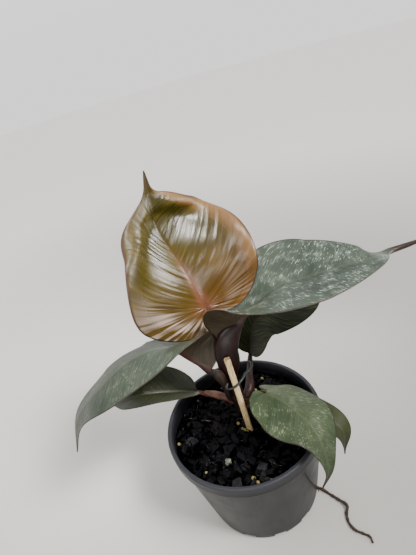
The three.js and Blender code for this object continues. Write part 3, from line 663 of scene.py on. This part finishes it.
def leaf_finish(name, length, tones, gloss, flecks, streaks, shine=0.26, ior=1.45, bump=0.35):
    """Upper side of a blade; flecks, streaks, shine and bump are strengths."""
    skin = Finish(name)
    vein, flat = skin.mark("vein"), skin.mark("flat")
    a, out, t = skin.part(flat, 0), abs(skin.part(flat, 1)), skin.part(vein, 1)
    slow = skin.noise(flat, 0.035, 2)
    broad = skin.noise(vein, (0.22, 0.8, 9.0), 2)
    lines = skin.noise(vein, (1.1, 1.4, 5.0), 3)
    rough = skin.clamp(gloss + 0.16 * (lines - 0.5))
    colour = skin.mix(skin.step(slow * 0.6 + broad * 0.4, 0.38, 0.62), tones["deep"], tones["light"])
    if "copper" in tones:
        rough = skin.clamp(rough + 0.2 * skin.step(t, 0.7, 0.92))
        colour = bronzed(skin, colour, tones, length, slow, vein, a, t, out)
    colour = skin.mix(skin.step(lines, 0.5, 0.72) * streaks, colour, tones["streak"])
    # Painted highlight: the blade is made paler towards its base, in the streak tone
    if "painted_base_highlight" in tones:
        near_base = 1 - skin.step(a, 0.1 * length, 0.5 * length)
        colour = skin.mix(near_base * tones["painted_base_highlight"], colour, tones["streak"])
    if flecks:
        colour = flecked(skin, colour, tones["fleck"], flecks, vein, flat, t)
    on_rib = 1 - skin.step(out, 0.5, 1.5)
    colour = skin.mix(on_rib * tones.get("rib_strength", 0.7), colour, tones["rib"])
    colour = skin.mix(skin.step(t, 0.962, 0.992), colour, tones["edge"])
    start, end = tones.get("tail_from", (20, 4))
    colour = skin.mix(skin.step(a, length - start, length - end), colour, tones["tail"])
    fine = skin.noise(vein, (2.4, 2.2, 5.0), 2)
    grain = skin.noise(flat, 1.6, 2)
    height = fine * 0.6 + grain * 0.25 + lines * 0.5
    return skin.done(colour, rough, skin.bump(height, bump, 0.4), shine, ior)


def underside_finish(name, deep, light, rib):
    skin = Finish(name)
    vein, flat = skin.mark("vein"), skin.mark("flat")
    slow = skin.noise(flat, 0.05, 2)
    lines = skin.noise(vein, (0.7, 1.2, 5.0), 3)
    colour = skin.mix(skin.step(slow * 0.5 + lines * 0.5, 0.36, 0.64), deep, light)
    colour = skin.mix(1 - skin.step(abs(skin.part(flat, 1)), 1.0, 2.2), colour, rib)
    return skin.done(colour, 0.5, skin.bump(lines, 0.4, 0.4), 0.2)


def stalk_finish(name, deep, light, gloss=0.42):
    skin = Finish(name)
    here = skin.here()
    lengthwise = skin.noise(here, (420, 420, 60), 3)
    slow = skin.noise(here, (60, 60, 40), 2)
    colour = skin.mix(skin.step(lengthwise * 0.5 + slow * 0.5, 0.36, 0.64), deep, light)
    return skin.done(colour, gloss, skin.bump(lengthwise, 0.25, 0.3), 0.22)


# Other finishes

def pot_finish():
    plastic = Finish("pot_plastic")
    here = plastic.here()
    dust = plastic.noise(here, 60, 5, 0.6)
    scuffs = plastic.noise(here, (260, 260, 22), 4)
    grain = plastic.noise(here, 1400, 2)
    dusty = plastic.step(dust * 0.6 + scuffs * 0.4, 0.35, 0.68)
    colour = plastic.mix(dusty, rgb(14, 14, 16), rgb(27, 27, 31))
    # Painted highlight: the rim band's face is lighter and bluer than the wall
    on_band = plastic.step(plastic.part(here, 2), 87 * MM, 94 * MM)
    colour = plastic.mix(on_band * 0.85, colour, rgb(45, 46, 51))
    rough = plastic.clamp(0.36 + 0.2 * (dust - 0.5) + 0.1 * scuffs)
    return plastic.done(colour, rough, plastic.bump(grain, 0.12, 0.2), 0.22)


def soil_finish():
    earth = Finish("soil")
    here = earth.here()
    crumbs = earth.noise(here, 700, 4, 0.65)
    patches = earth.noise(here, 120, 3)
    colour = earth.mix(earth.step(crumbs * 0.6 + patches * 0.4, 0.4, 0.66), rgb(1, 1, 1), rgb(4, 4, 5))
    return earth.done(colour, earth.clamp(0.82 - 0.3 * patches), earth.bump(crumbs, 0.8, 1.2), 0.0)


def bark_finish():
    bark = Finish("bark_chips")
    tone, damp, warm = (bark.part(bark.mark("tone"), axis) for axis in range(3))
    fibre = bark.noise(bark.here(), (900, 260, 900), 4, 0.65)
    colour = bark.mix(bark.clamp(tone * 0.7 + 0.5 * (fibre - 0.4)), rgb(1, 1, 2), rgb(15, 15, 19))
    colour = bark.mix(warm * 0.35, colour, rgb(20, 14, 10))
    return bark.done(colour, bark.clamp(0.6 - 0.3 * damp), bark.bump(fibre, 0.6, 0.6), 0.06)


def plain_finish(name, deep, light, grains, gloss, depth=0.4):
    """Mottled finish: grains is how many cross a metre, and depth is in mm."""
    made = Finish(name)
    cloudy_noise = made.noise(made.here(), grains, 4, 0.6)
    colour = made.mix(made.step(cloudy_noise, 0.35, 0.65), deep, light)
    return made.done(colour, gloss, made.bump(cloudy_noise, 0.4, depth))


def bamboo_finish():
    cane = Finish("split_bamboo")
    here = cane.here()
    fibre = cane.noise(here, (1500, 1500, 45), 4, 0.6)
    stain = cane.noise(here, 55, 3)
    colour = cane.mix(cane.step(fibre, 0.34, 0.68), rgb(146, 122, 84), rgb(192, 170, 128))
    colour = cane.mix(cane.step(stain, 0.56, 0.72) * 0.5, colour, rgb(116, 92, 60))
    return cane.done(colour, 0.62, cane.bump(fibre, 0.5, 0.5))


# Leaves' colours; then the depth, vein spacing and seed of each relief, in mm, and its finishes

GREY_GREEN = dict(
    deep=rgb(29, 38, 31), light=rgb(46, 55, 46), streak=rgb(70, 79, 68), fleck=rgb(144, 154, 144),
    rib=rgb(74, 76, 62), edge=rgb(40, 34, 28), tail=rgb(38, 27, 22))
LEAF_TONES = {
    "young": dict(
        # painted_sheen is the pale tone of the painted highlight low on the blade
        deep=rgb(33, 30, 3), light=rgb(50, 43, 6), streak=rgb(72, 60, 24), painted_sheen=rgb(176, 158, 148),
        rib=rgb(84, 56, 38), edge=rgb(52, 32, 18), tail=rgb(50, 40, 26), copper=rgb(102, 69, 33),
        blush=rgb(96, 58, 44), rib_strength=0.12),
    # painted_base_highlight is how strongly the painted highlight near the base shows
    "right": dict(GREY_GREEN, tail_from=(32, 24), rib_strength=0.2, painted_base_highlight=0.45),
    "left": dict(GREY_GREEN, deep=rgb(30, 38, 29), light=rgb(44, 52, 40), rib_strength=0.5, painted_base_highlight=0.6),
    "back": dict(
        deep=rgb(13, 19, 5), light=rgb(27, 32, 13), streak=rgb(66, 68, 48), fleck=rgb(104, 104, 90),
        rib=rgb(48, 40, 32), edge=rgb(27, 24, 19), tail=rgb(37, 34, 26)),
    "smallLeft": dict(
        deep=rgb(17, 22, 5), light=rgb(31, 36, 13), streak=rgb(45, 49, 26), fleck=rgb(108, 108, 85),
        rib=rgb(60, 60, 45), edge=rgb(40, 29, 20), tail=rgb(36, 32, 22)),
    "front": dict(GREY_GREEN, deep=rgb(36, 47, 28), light=rgb(51, 61, 38), fleck=rgb(118, 128, 108),
                  rib=rgb(60, 66, 46)),
    "smallRight": dict(
        deep=rgb(28, 34, 12), light=rgb(38, 45, 19), streak=rgb(54, 58, 39), fleck=rgb(101, 102, 76),
        rib=rgb(54, 55, 38), edge=rgb(40, 33, 23), tail=rgb(38, 34, 23)),
}
BROWN_UNDER = (rgb(34, 28, 20), rgb(52, 44, 31), rgb(50, 29, 24))
LEAF_LOOKS = {
    "young": dict(
        relief=(0.75, 8.0, 1.3), top=dict(gloss=0.22, flecks=0, streaks=0.35, shine=0.36, ior=1.5, bump=0.6),
        under=(rgb(74, 41, 24), rgb(91, 53, 32), rgb(87, 45, 33)),
        stalk=(rgb(35, 15, 12), rgb(52, 25, 20)), slot="young_blade"),
    "right": dict(
        relief=(0.26, 5.5, 2.2), top=dict(gloss=0.42, flecks=0.8, streaks=0.45), under=BROWN_UNDER,
        stalk=(rgb(15, 5, 5), rgb(33, 13, 12)), slot="green_blade"),
    "left": dict(
        relief=(0.3, 5.0, 3.1), top=dict(gloss=0.42, flecks=0.22, streaks=0.6), under=BROWN_UNDER,
        stalk=(rgb(22, 13, 11), rgb(36, 25, 19)), slot="green_blade"),
    "back": dict(
        relief=(0.7, 4.4, 4.2), top=dict(gloss=0.42, flecks=0, streaks=0.7, shine=0.12),
        under=(rgb(32, 27, 22), rgb(48, 42, 33), rgb(50, 30, 24)),
        stalk=(rgb(26, 12, 12), rgb(44, 24, 20)), slot="dark_blade"),
    "smallLeft": dict(
        relief=(0.2, 5.0, 5.3), top=dict(gloss=0.38, flecks=0.1, streaks=0.25),
        under=(rgb(33, 26, 19), rgb(45, 37, 27), rgb(69, 33, 24)),
        stalk=(rgb(60, 30, 23), rgb(86, 50, 36)), slot="dark_blade"),
    "front": dict(
        relief=(0.22, 4.5, 6.4), top=dict(gloss=0.44, flecks=0.6, streaks=0.4),
        under=(rgb(46, 46, 35), rgb(60, 59, 45), rgb(66, 58, 43)),
        stalk=(rgb(50, 32, 20), rgb(71, 49, 32)), slot="green_blade"),
    "smallRight": dict(
        relief=(0.16, 4.0, 7.5), top=dict(gloss=0.46, flecks=0.1, streaks=0.3),
        under=(rgb(46, 46, 30), rgb(60, 59, 40), rgb(66, 58, 39)),
        stalk=(rgb(50, 32, 20), rgb(71, 49, 32)), slot="dark_blade"),
}


def build_leaf(name):
    leaf = BentLeaf(LEAVES[name])
    shape, looks = leaf.shape, LEAF_LOOKS[name]
    points, faces, marks, upper = leaf_mesh(leaf, relief_of(*looks["relief"]))
    top = leaf_finish("leaf_" + name, leaf.length, LEAF_TONES[name], **looks["top"])
    under = underside_finish("under_" + name, *looks["under"])
    blade = piece("blade_" + name, points, faces, [top, under], marks=marks)
    blade.data.polygons.foreach_set("material_index", [0] * upper + [1] * (len(faces) - upper))
    centre, _, normal = leaf.frame_at(np.array([0.0, STALK_REACH * leaf.length]))
    path = list(shape["stalk"]) + list(centre - RIB * normal)
    end = [RIB * 0.7]
    depths = shape.get("stalk_depths")
    limb = tube(path, shape["stalk_radii"] + end, sides=22, rings=70, depths=depths and depths + end)
    stalk = piece("stalk_" + name, *limb, stalk_finish("stalk_" + name, *looks["stalk"]))
    for made, slot in ((blade, looks["slot"]), (stalk, "stem_skin")):
        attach(made, "root")
        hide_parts("leaf_" + name)


for leaf_name in LEAVES:
    build_leaf(leaf_name)


# Pot

def rounded(profile, radius, steps):
    """Profile with each corner turned into a small arc."""
    soft = [profile[0]]
    for before, corner, after in zip(profile, profile[1:], profile[2:]):
        before, corner, after = (np.array(p, float) for p in (before, corner, after))
        reach = min(radius, 0.45 * np.linalg.norm(before - corner), 0.45 * np.linalg.norm(after - corner))
        start = corner + unit(before - corner) * reach
        end = corner + unit(after - corner) * reach
        soft += [tuple(round_bend(start, corner, end, k / steps)) for k in range(steps + 1)]
    return soft + [profile[-1]]


def turned(profile, sides):
    """Closed solid of revolution: the profile starts and ends on the axis."""
    angle = np.linspace(0, 2 * math.pi, sides, endpoint=False)
    body = np.array(profile[1:-1], float)
    rings = np.stack([body[:, :1] * np.cos(angle), body[:, :1] * np.sin(angle),
                      body[:, 1:] * np.ones(sides)], -1)
    ends = [(0, 0, profile[0][1]), (0, 0, profile[-1][1])]
    return np.vstack([rings.reshape(-1, 3), ends]), ring_faces(len(body), sides)


def slot_blocks():
    """Points and faces of the blocks that cut the drainage slots."""
    faces = [(3, 2, 1, 0), (4, 5, 6, 7)] + [(k, (k + 1) % 4, 4 + (k + 1) % 4, 4 + k) for k in range(4)]
    around = list(zip(SLOT_REACH + SLOT_REACH[::-1], (-0.5, -0.5, 0.5, 0.5)))
    blocks = []
    for i in range(SLOTS):
        turn = math.radians(SLOT_TURN + 360 / SLOTS * i)
        c, s = math.cos(turn), math.sin(turn)
        blocks.append(([(r * c - SLOT_WIDTH * y * s, r * s + SLOT_WIDTH * y * c, z)
                        for z in (-SLOT_HEIGHT, SLOT_HEIGHT) for r, y in around], faces))
    return gathered(blocks)


def build_pot():
    rim, base, top = POT_RIM_RADIUS, POT_BASE_RADIUS, POT_HEIGHT
    band = top - RIM_BAND
    wall = rim - BAND_STEP
    inner = rim - POT_WALL
    profile = [
        (0, 0), (base - 1, 0), (base, 1), (base + 0.9, 6), (wall, band - 0.6), (rim - 0.7, band),
        (rim - 0.3, band + 1), (rim, top - 1.4), (rim - 0.5, top - 0.3), (rim - 1.3, top),
        (inner - 1.6, top - 0.2), (inner - 2.1, top - 1.2), (wall - POT_WALL, band),
        (base - POT_WALL, POT_FLOOR + 1), (base - POT_WALL - 1, POT_FLOOR), (0, POT_FLOOR),
    ]
    finish = pot_finish()
    pot = piece("nursery_pot", *turned(rounded(profile, radius=0.5, steps=3), POT_SIDES), finish)
    cutter = piece("slots", *slot_blocks(), finish, smooth=False)
    carve = pot.modifiers.new("slots", "BOOLEAN")
    carve.object = cutter
    carve.operation = "DIFFERENCE"
    carve.solver = "EXACT"
    cut = bpy.data.meshes.new_from_object(pot.evaluated_get(bpy.context.evaluated_depsgraph_get()))
    pot.modifiers.clear()
    pot.data = cut
    bpy.data.objects.remove(cutter)
    cut.set_sharp_from_angle(angle=math.radians(SHARP_EDGE))
    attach(pot, "root")
    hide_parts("pot")


build_pot()


# Soil

def inner_radius(z):
    """Radius of the pot's inside at a height."""
    low = POT_BASE_RADIUS - POT_WALL
    high = POT_RIM_RADIUS - BAND_STEP - POT_WALL
    return low + (high - low) * ((z - POT_FLOOR - 1) / (POT_HEIGHT - RIM_BAND - POT_FLOOR - 1))


def soil_height(x, y):
    """Height of the bed's surface at a place, before its finest crumbs."""
    swell = 1.2 * np.sin(0.11 * x + 0.4) * np.cos(0.13 * y - 0.7)
    crumbs = np.sin(0.53 * x + 1.3 * np.sin(0.31 * y)) * np.cos(0.47 * y + 0.8 * np.sin(0.37 * x))
    return SOIL_TOP + swell + 0.7 * crumbs - 0.0006 * (x * x + y * y)


def build_soil():
    """Soil bed down to the pot's floor, clear of the wall, with a fine crumbly top."""
    radius = np.linspace(0, inner_radius(SOIL_TOP) - BED_GAP, BED_RINGS + 1)[1:]
    angle = np.linspace(0, 2 * math.pi, BED_SPOKES, endpoint=False)
    x = radius[:, None] * np.cos(angle)
    y = radius[:, None] * np.sin(angle)
    rough = (0.35 * np.sin(1.9 * x + 2 * np.sin(0.7 * y)) * np.sin(2.1 * y + 1.5 * np.sin(0.9 * x))
             + 0.22 * np.sin(4.1 * x + 3 * np.sin(1.3 * y)) * np.sin(3.7 * y + 2 * np.sin(1.7 * x)))
    top = np.stack([x, y, soil_height(x, y) + rough], -1)
    foot = POT_FLOOR + FOOT_GAP
    low_radius = inner_radius(foot + 1.2) - 2 * BED_GAP
    low = np.stack([low_radius * np.cos(angle), low_radius * np.sin(angle), np.full(BED_SPOKES, foot)], -1)
    rings_at = np.concatenate([top, low[None]])
    points = np.vstack([rings_at.reshape(-1, 3), [(0, 0, soil_height(0, 0)), (0, 0, foot)]])
    faces = [tuple(reversed(face)) for face in ring_faces(BED_RINGS + 1, BED_SPOKES)]
    bed = piece("potting_soil", points, faces, soil_finish())
    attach(bed, "root")
    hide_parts("soil")


build_soil()


def somewhere(draw, gap):
    """Place drawn evenly over the bed, that far from the wall."""
    reach = (inner_radius(SOIL_TOP) - gap) * math.sqrt(draw.uniform())
    turn = draw.uniform(0, 2 * math.pi)
    return reach * math.cos(turn), reach * math.sin(turn)


def chip_points(size, draw):
    """Eight loosely placed corners of a broken chip."""
    box = np.array([(x, y, z) for x in (-1, 1) for y in (-1, 1) for z in (-1, 1)], float) / 2
    box = box * size + draw.uniform(-CHIP_SPREAD, CHIP_SPREAD, (8, 3)) * np.asarray(size)
    turn = Matrix.Rotation(draw.uniform(-0.6, 0.6), 3, "X")
    turn = turn @ Matrix.Rotation(draw.uniform(-0.5, 0.5), 3, "Y")
    turn = Matrix.Rotation(draw.uniform(0, math.pi * 2), 3, "Z") @ turn
    return box @ np.array(turn).T


def build_chips():
    """Bark: large chips where the photo shows them and small ones all over, each with its own tone."""
    draw = np.random.default_rng(11)
    bodies, tones = [], []

    def add(x, y, size, lift, tone):
        bodies.append((chip_points(size, draw) + np.array([x, y, soil_height(x, y) + lift]), CHIP_FACES))
        tones.extend([tone] * 8)

    for x, y in LARGE_CHIPS:
        width = draw.uniform(5, 8)
        add(x, y, (width, width * draw.uniform(0.6, 0.9), draw.uniform(2, 3.4)), 0.5,
            (draw.uniform(0.5, 1), draw.uniform(0.3, 1), draw.uniform(0, 0.3)))
    for _ in range(SMALL_CHIPS):
        x, y = somewhere(draw, 3)
        width = 1.2 + 4.6 * draw.uniform() ** 2.2
        size = (width * draw.uniform(1, 1.8), width * draw.uniform(0.6, 1), width * draw.uniform(0.35, 0.7))
        add(x, y, size, 0.12 * width, (draw.uniform() ** 1.6, draw.uniform(), 0.9 * (draw.uniform() > 0.86)))
    chips = piece("bark_chips", *gathered(bodies), bark_finish(), smooth=False, marks={"tone": tones})
    bevel = chips.modifiers.new("worn_edges", "BEVEL")
    bevel.width = 0.25 * MM
    bevel.segments = 1
    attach(chips, "root")


build_chips()


def build_fibres():
    """Fine fibres that lie on the bed, each a short wandering line."""
    draw = np.random.default_rng(5)
    strands = []
    for _ in range(FIBRES):
        x, y = somewhere(draw, 5)
        heading = draw.uniform(0, 2 * math.pi)
        path = []
        for _ in range(5):
            path.append((x, y, soil_height(x, y) + draw.uniform(0.3, 2.4)))
            heading += draw.uniform(-0.7, 0.7)
            x = x + FIBRE_STEP * math.cos(heading)
            y = y + FIBRE_STEP * math.sin(heading)
        if math.hypot(x, y) > inner_radius(SOIL_TOP) - 2:
            continue
        thickness = draw.uniform(0.12, 0.3)
        strands.append(tube(path, [thickness, thickness * 0.6], sides=5, rings=14))
    finish = plain_finish("fibre", rgb(26, 21, 18), rgb(56, 49, 44), 300, 0.7)
    fibres = piece("soil_fibres", *gathered(strands), finish)
    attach(fibres, "root")


build_fibres()


def bead(centre, radius, squash, draw, bumps):
    """Points and faces of a slightly lumpy bead."""
    ball = bmesh.new()
    bmesh.ops.create_icosphere(ball, subdivisions=3, radius=1.0)
    ball.verts.index_update()
    vertices = np.array([v.co[:] for v in ball.verts])
    faces = [tuple(v.index for v in face.verts) for face in ball.faces]
    ball.free()
    shift = draw.uniform(0, 6, 3)
    lump = 1 + bumps * np.sin(3 * vertices[:, 0] + shift[0]) * np.sin(3.4 * vertices[:, 1] + shift[1])
    lump = lump + bumps * np.sin(5 * vertices[:, 2] + shift[2]) * 0.5
    return vertices * lump[:, None] * radius * np.array([1, 1, squash]) + np.array(centre), faces


def build_beads(name, places, finish, radius, squash, bumps):
    """Beads on the bed, at places that give x, y and a size of each."""
    draw = np.random.default_rng(3)
    bodies = [bead((x, y, soil_height(x, y) + 0.9 + 0.3 * size), radius * size, squash, draw, bumps)
              for x, y, size in places]
    beads = piece(name, *gathered(bodies), finish)
    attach(beads, "root")


prill_finish = plain_finish("feed_prill", rgb(88, 84, 38), rgb(132, 124, 68), 500, 0.42, 0.2)
grit_finish = plain_finish("grit", rgb(60, 63, 53), rgb(98, 101, 88), 400, 0.8, 0.6)
build_beads("feed_prills", FEED_PRILLS, prill_finish, radius=1.35, squash=0.95, bumps=0.05)
build_beads("pale_grit", PALE_GRIT, grit_finish, radius=1.25, squash=0.75, bumps=0.22)


# Stem, stake, tie, root and dry bract

def stem_wobble(run, angle):
    """Share by which the stem swells: scars where leaves grew, and a slightly angular skin."""
    rings = 0.05 * np.exp(-((run % 11.0 - 5.5) / 0.8) ** 2)
    return rings + 0.03 * np.sin(3 * angle + 0.2 * run) + 0.015 * np.sin(7 * angle - 0.5 * run)


def root_wobble(run, angle):
    """Share by which the root swells: knots and a rough skin."""
    return 0.16 * np.sin(0.9 * run + 1.5 * np.sin(0.31 * run)) + 0.1 * np.sin(2.7 * run + 2 * angle)


def build_tube(name, finish, path, radii, sides, rings, node=None, wobble=None):
    """Limb along a path, kept off the floor."""
    points, faces = tube(path, radii, sides, rings, wobble)
    points[:, 2] = np.maximum(points[:, 2], OFF_FLOOR)
    made = piece(name, points, faces, finish)
    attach(made, "root")
    if node:
        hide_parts(node)


stem_red = stalk_finish("stem_skin", rgb(15, 8, 8), rgb(27, 15, 13), 0.5)
wire_green = plain_finish("green_wire", rgb(12, 19, 19), rgb(20, 29, 29), 500, 0.4, 0.2)
root_brown = plain_finish("root_skin", rgb(32, 21, 14), rgb(60, 40, 27), 700, 0.8, 0.6)
build_tube("main_stem", stem_red, STEM_PATH, STEM_RADII, 28, 90, "stem", stem_wobble)
build_tube("tie_wire", wire_green, TIE_PATH, [WIRE_RADIUS] * 2, 12, 220, "tie")
build_tube("loose_root", root_brown, ROOT_PATH, ROOT_RADII, 14, 240, "root", root_wobble)
build_tube("root_thread", root_brown, THREAD_PATH, THREAD_RADII, 8, 60)


def build_bract():
    """Dry curled bract: a torn half tube over the petiole."""
    line, run = through(SHEATH_PATH, SHEATH_ROWS)
    forward = unit(np.gradient(line, axis=0))
    side = unit(np.cross(forward, (0, 0, 1)))
    up = np.cross(side, forward)
    radius = along(SHEATH_RADII, run / run[-1])[:, None] + 0.1
    low = -0.25 + 0.18 * np.sin(0.9 * run)[:, None]
    high = math.pi + 0.15 + 0.22 * np.sin(0.7 * run + 2)[:, None]
    angle = low + (high - low) * np.linspace(0, 1, SHEATH_COLUMNS)
    crease = 1 + 0.05 * np.sin(5 * angle + 0.4 * run[:, None])
    shells = []
    for offset in (0.0, -SHEATH_THICKNESS):
        r = (radius + offset) * crease
        shells.append(line[:, None] + np.cos(angle)[..., None] * side[:, None] * r[..., None]
                      + np.sin(angle)[..., None] * up[:, None] * r[..., None])
    sheet, border = sheet_faces(*angle.shape)
    count = angle.size
    faces = [face[:1] + face[:0:-1] for face in sheet] + [tuple(count + v for v in face) for face in sheet]
    faces += [(v, w, w + count, v + count) for v, w in border]
    finish = plain_finish("dry_bract", rgb(66, 38, 24), rgb(108, 66, 42), 260, 0.6)
    bract = piece("dry_bract", np.concatenate(shells).reshape(-1, 3), faces, finish)
    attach(bract, "root")
    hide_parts("dry_sheath")


build_bract()

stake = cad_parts["stake"]
stake.material_slots[0].material = bamboo_finish()


# Floor, light and camera

def build_floor():
    """Plain pale floor, wide and round, paler far off."""
    turns = np.linspace(0, 2 * math.pi, FLOOR_SIDES, endpoint=False)
    ring = [(FLOOR_RADIUS * math.cos(turn), FLOOR_RADIUS * math.sin(turn), 0) for turn in turns]
    paint = Finish("white_paint")
    here = paint.here()
    cloud = paint.noise(here, 5.0, 4)
    away = paint.node("ShaderNodeVectorMath", {"operation": "LENGTH"}, {0: here}, out=1)
    colour = paint.mix(paint.step(away, 0.25, 1.1), paint.mix(cloud, rgb(177, 175, 171), rgb(186, 184, 180)),
                       rgb(252, 250, 246))
    finish = paint.done(colour, 0.7, paint.bump(cloud, 0.05, 1))
    piece("floor", ring, [tuple(range(FLOOR_SIDES))], finish, smooth=False)


build_floor()


def soft_light(name, azimuth, elevation, distance, size, power, colour, spread=180, aim=NEW_LEAF):
    """Area light aimed at the plant, unseen itself. Azimuth 0 is +Y, 90 is +X."""
    turn, lift = math.radians(azimuth), math.radians(elevation)
    away = Vector((math.sin(turn) * math.cos(lift), math.cos(turn) * math.cos(lift), math.sin(lift)))
    data = bpy.data.lights.new(name, "AREA")
    data.shape = "RECTANGLE"
    data.size, data.size_y = size
    data.energy = power
    data.color = colour
    data.spread = math.radians(spread)
    lamp = bpy.data.objects.new(name, data)
    lamp.location = Vector(aim) + away * distance
    lamp.rotation_euler = (-away).to_track_quat("-Z", "Y").to_euler()
    lamp.visible_camera = False
    bpy.context.scene.collection.objects.link(lamp)


soft_light("key_panel", 290, 55, 1.3, (0.9, 0.7), 3.5, (1.0, 0.98, 0.95), aim=PLANT_MIDDLE)
soft_light("high_card", 127, 47, 1.0, (0.4, 0.3), 1.55, (1.0, 0.98, 0.94), 30)
soft_light("front_card", 205, 32, 1.0, (0.4, 0.3), 0.35, (1.0, 0.98, 0.96), 30)
soft_light("low_front_card", 180, -19, 0.55, (0.4, 0.08), 0.15, (1.0, 0.98, 0.96), 40)
soft_light("low_side_card", 96, -8, 0.6, (0.35, 0.1), 0.3, (1.0, 0.98, 0.96), 25)


def build_room():
    """Light from all round, brighter from behind and from the left, dimmer near the horizon."""
    bpy.context.scene.world = bpy.data.worlds.new("room")
    room = Finish("room", bpy.context.scene.world)
    toward = room.node("ShaderNodeTexCoord")
    bright_side = room.step(room.dot(toward, (-0.6, 0.8, 0.2)), -0.8, 0.4)
    colour = room.mix(bright_side, (0.24, 0.24, 0.235, 1.0), (1.0, 0.995, 0.98, 1.0))
    strength = ROOM_STRENGTH * (0.8 + 0.2 * room.step(room.dot(toward, (0, 0, 1)), 0.0, 0.35))
    glow = room.node("ShaderNodeBackground", None, {"Color": colour, "Strength": strength})
    room.node("ShaderNodeOutputWorld", None, {"Surface": glow})


build_room()


def build_camera():
    """The photo's own view: from above in front, rolled to the left."""
    data = bpy.data.cameras.new("view")
    data.sensor_fit = "AUTO"
    data.sensor_width = SENSOR
    data.lens = FOCAL_PIXELS / PHOTO_HEIGHT * SENSOR
    data.clip_start = 0.01
    camera = bpy.data.objects.new("view", data)
    tilt = Matrix.Rotation(math.radians(90 - CAMERA_PITCH), 4, "X")
    roll = Matrix.Rotation(math.radians(-CAMERA_ROLL), 4, "Z")
    camera.matrix_world = Matrix.Translation(Vector(CAMERA_PLACE) * MM) @ tilt @ roll
    bpy.context.scene.collection.objects.link(camera)
    bpy.context.scene.camera = camera


build_camera()
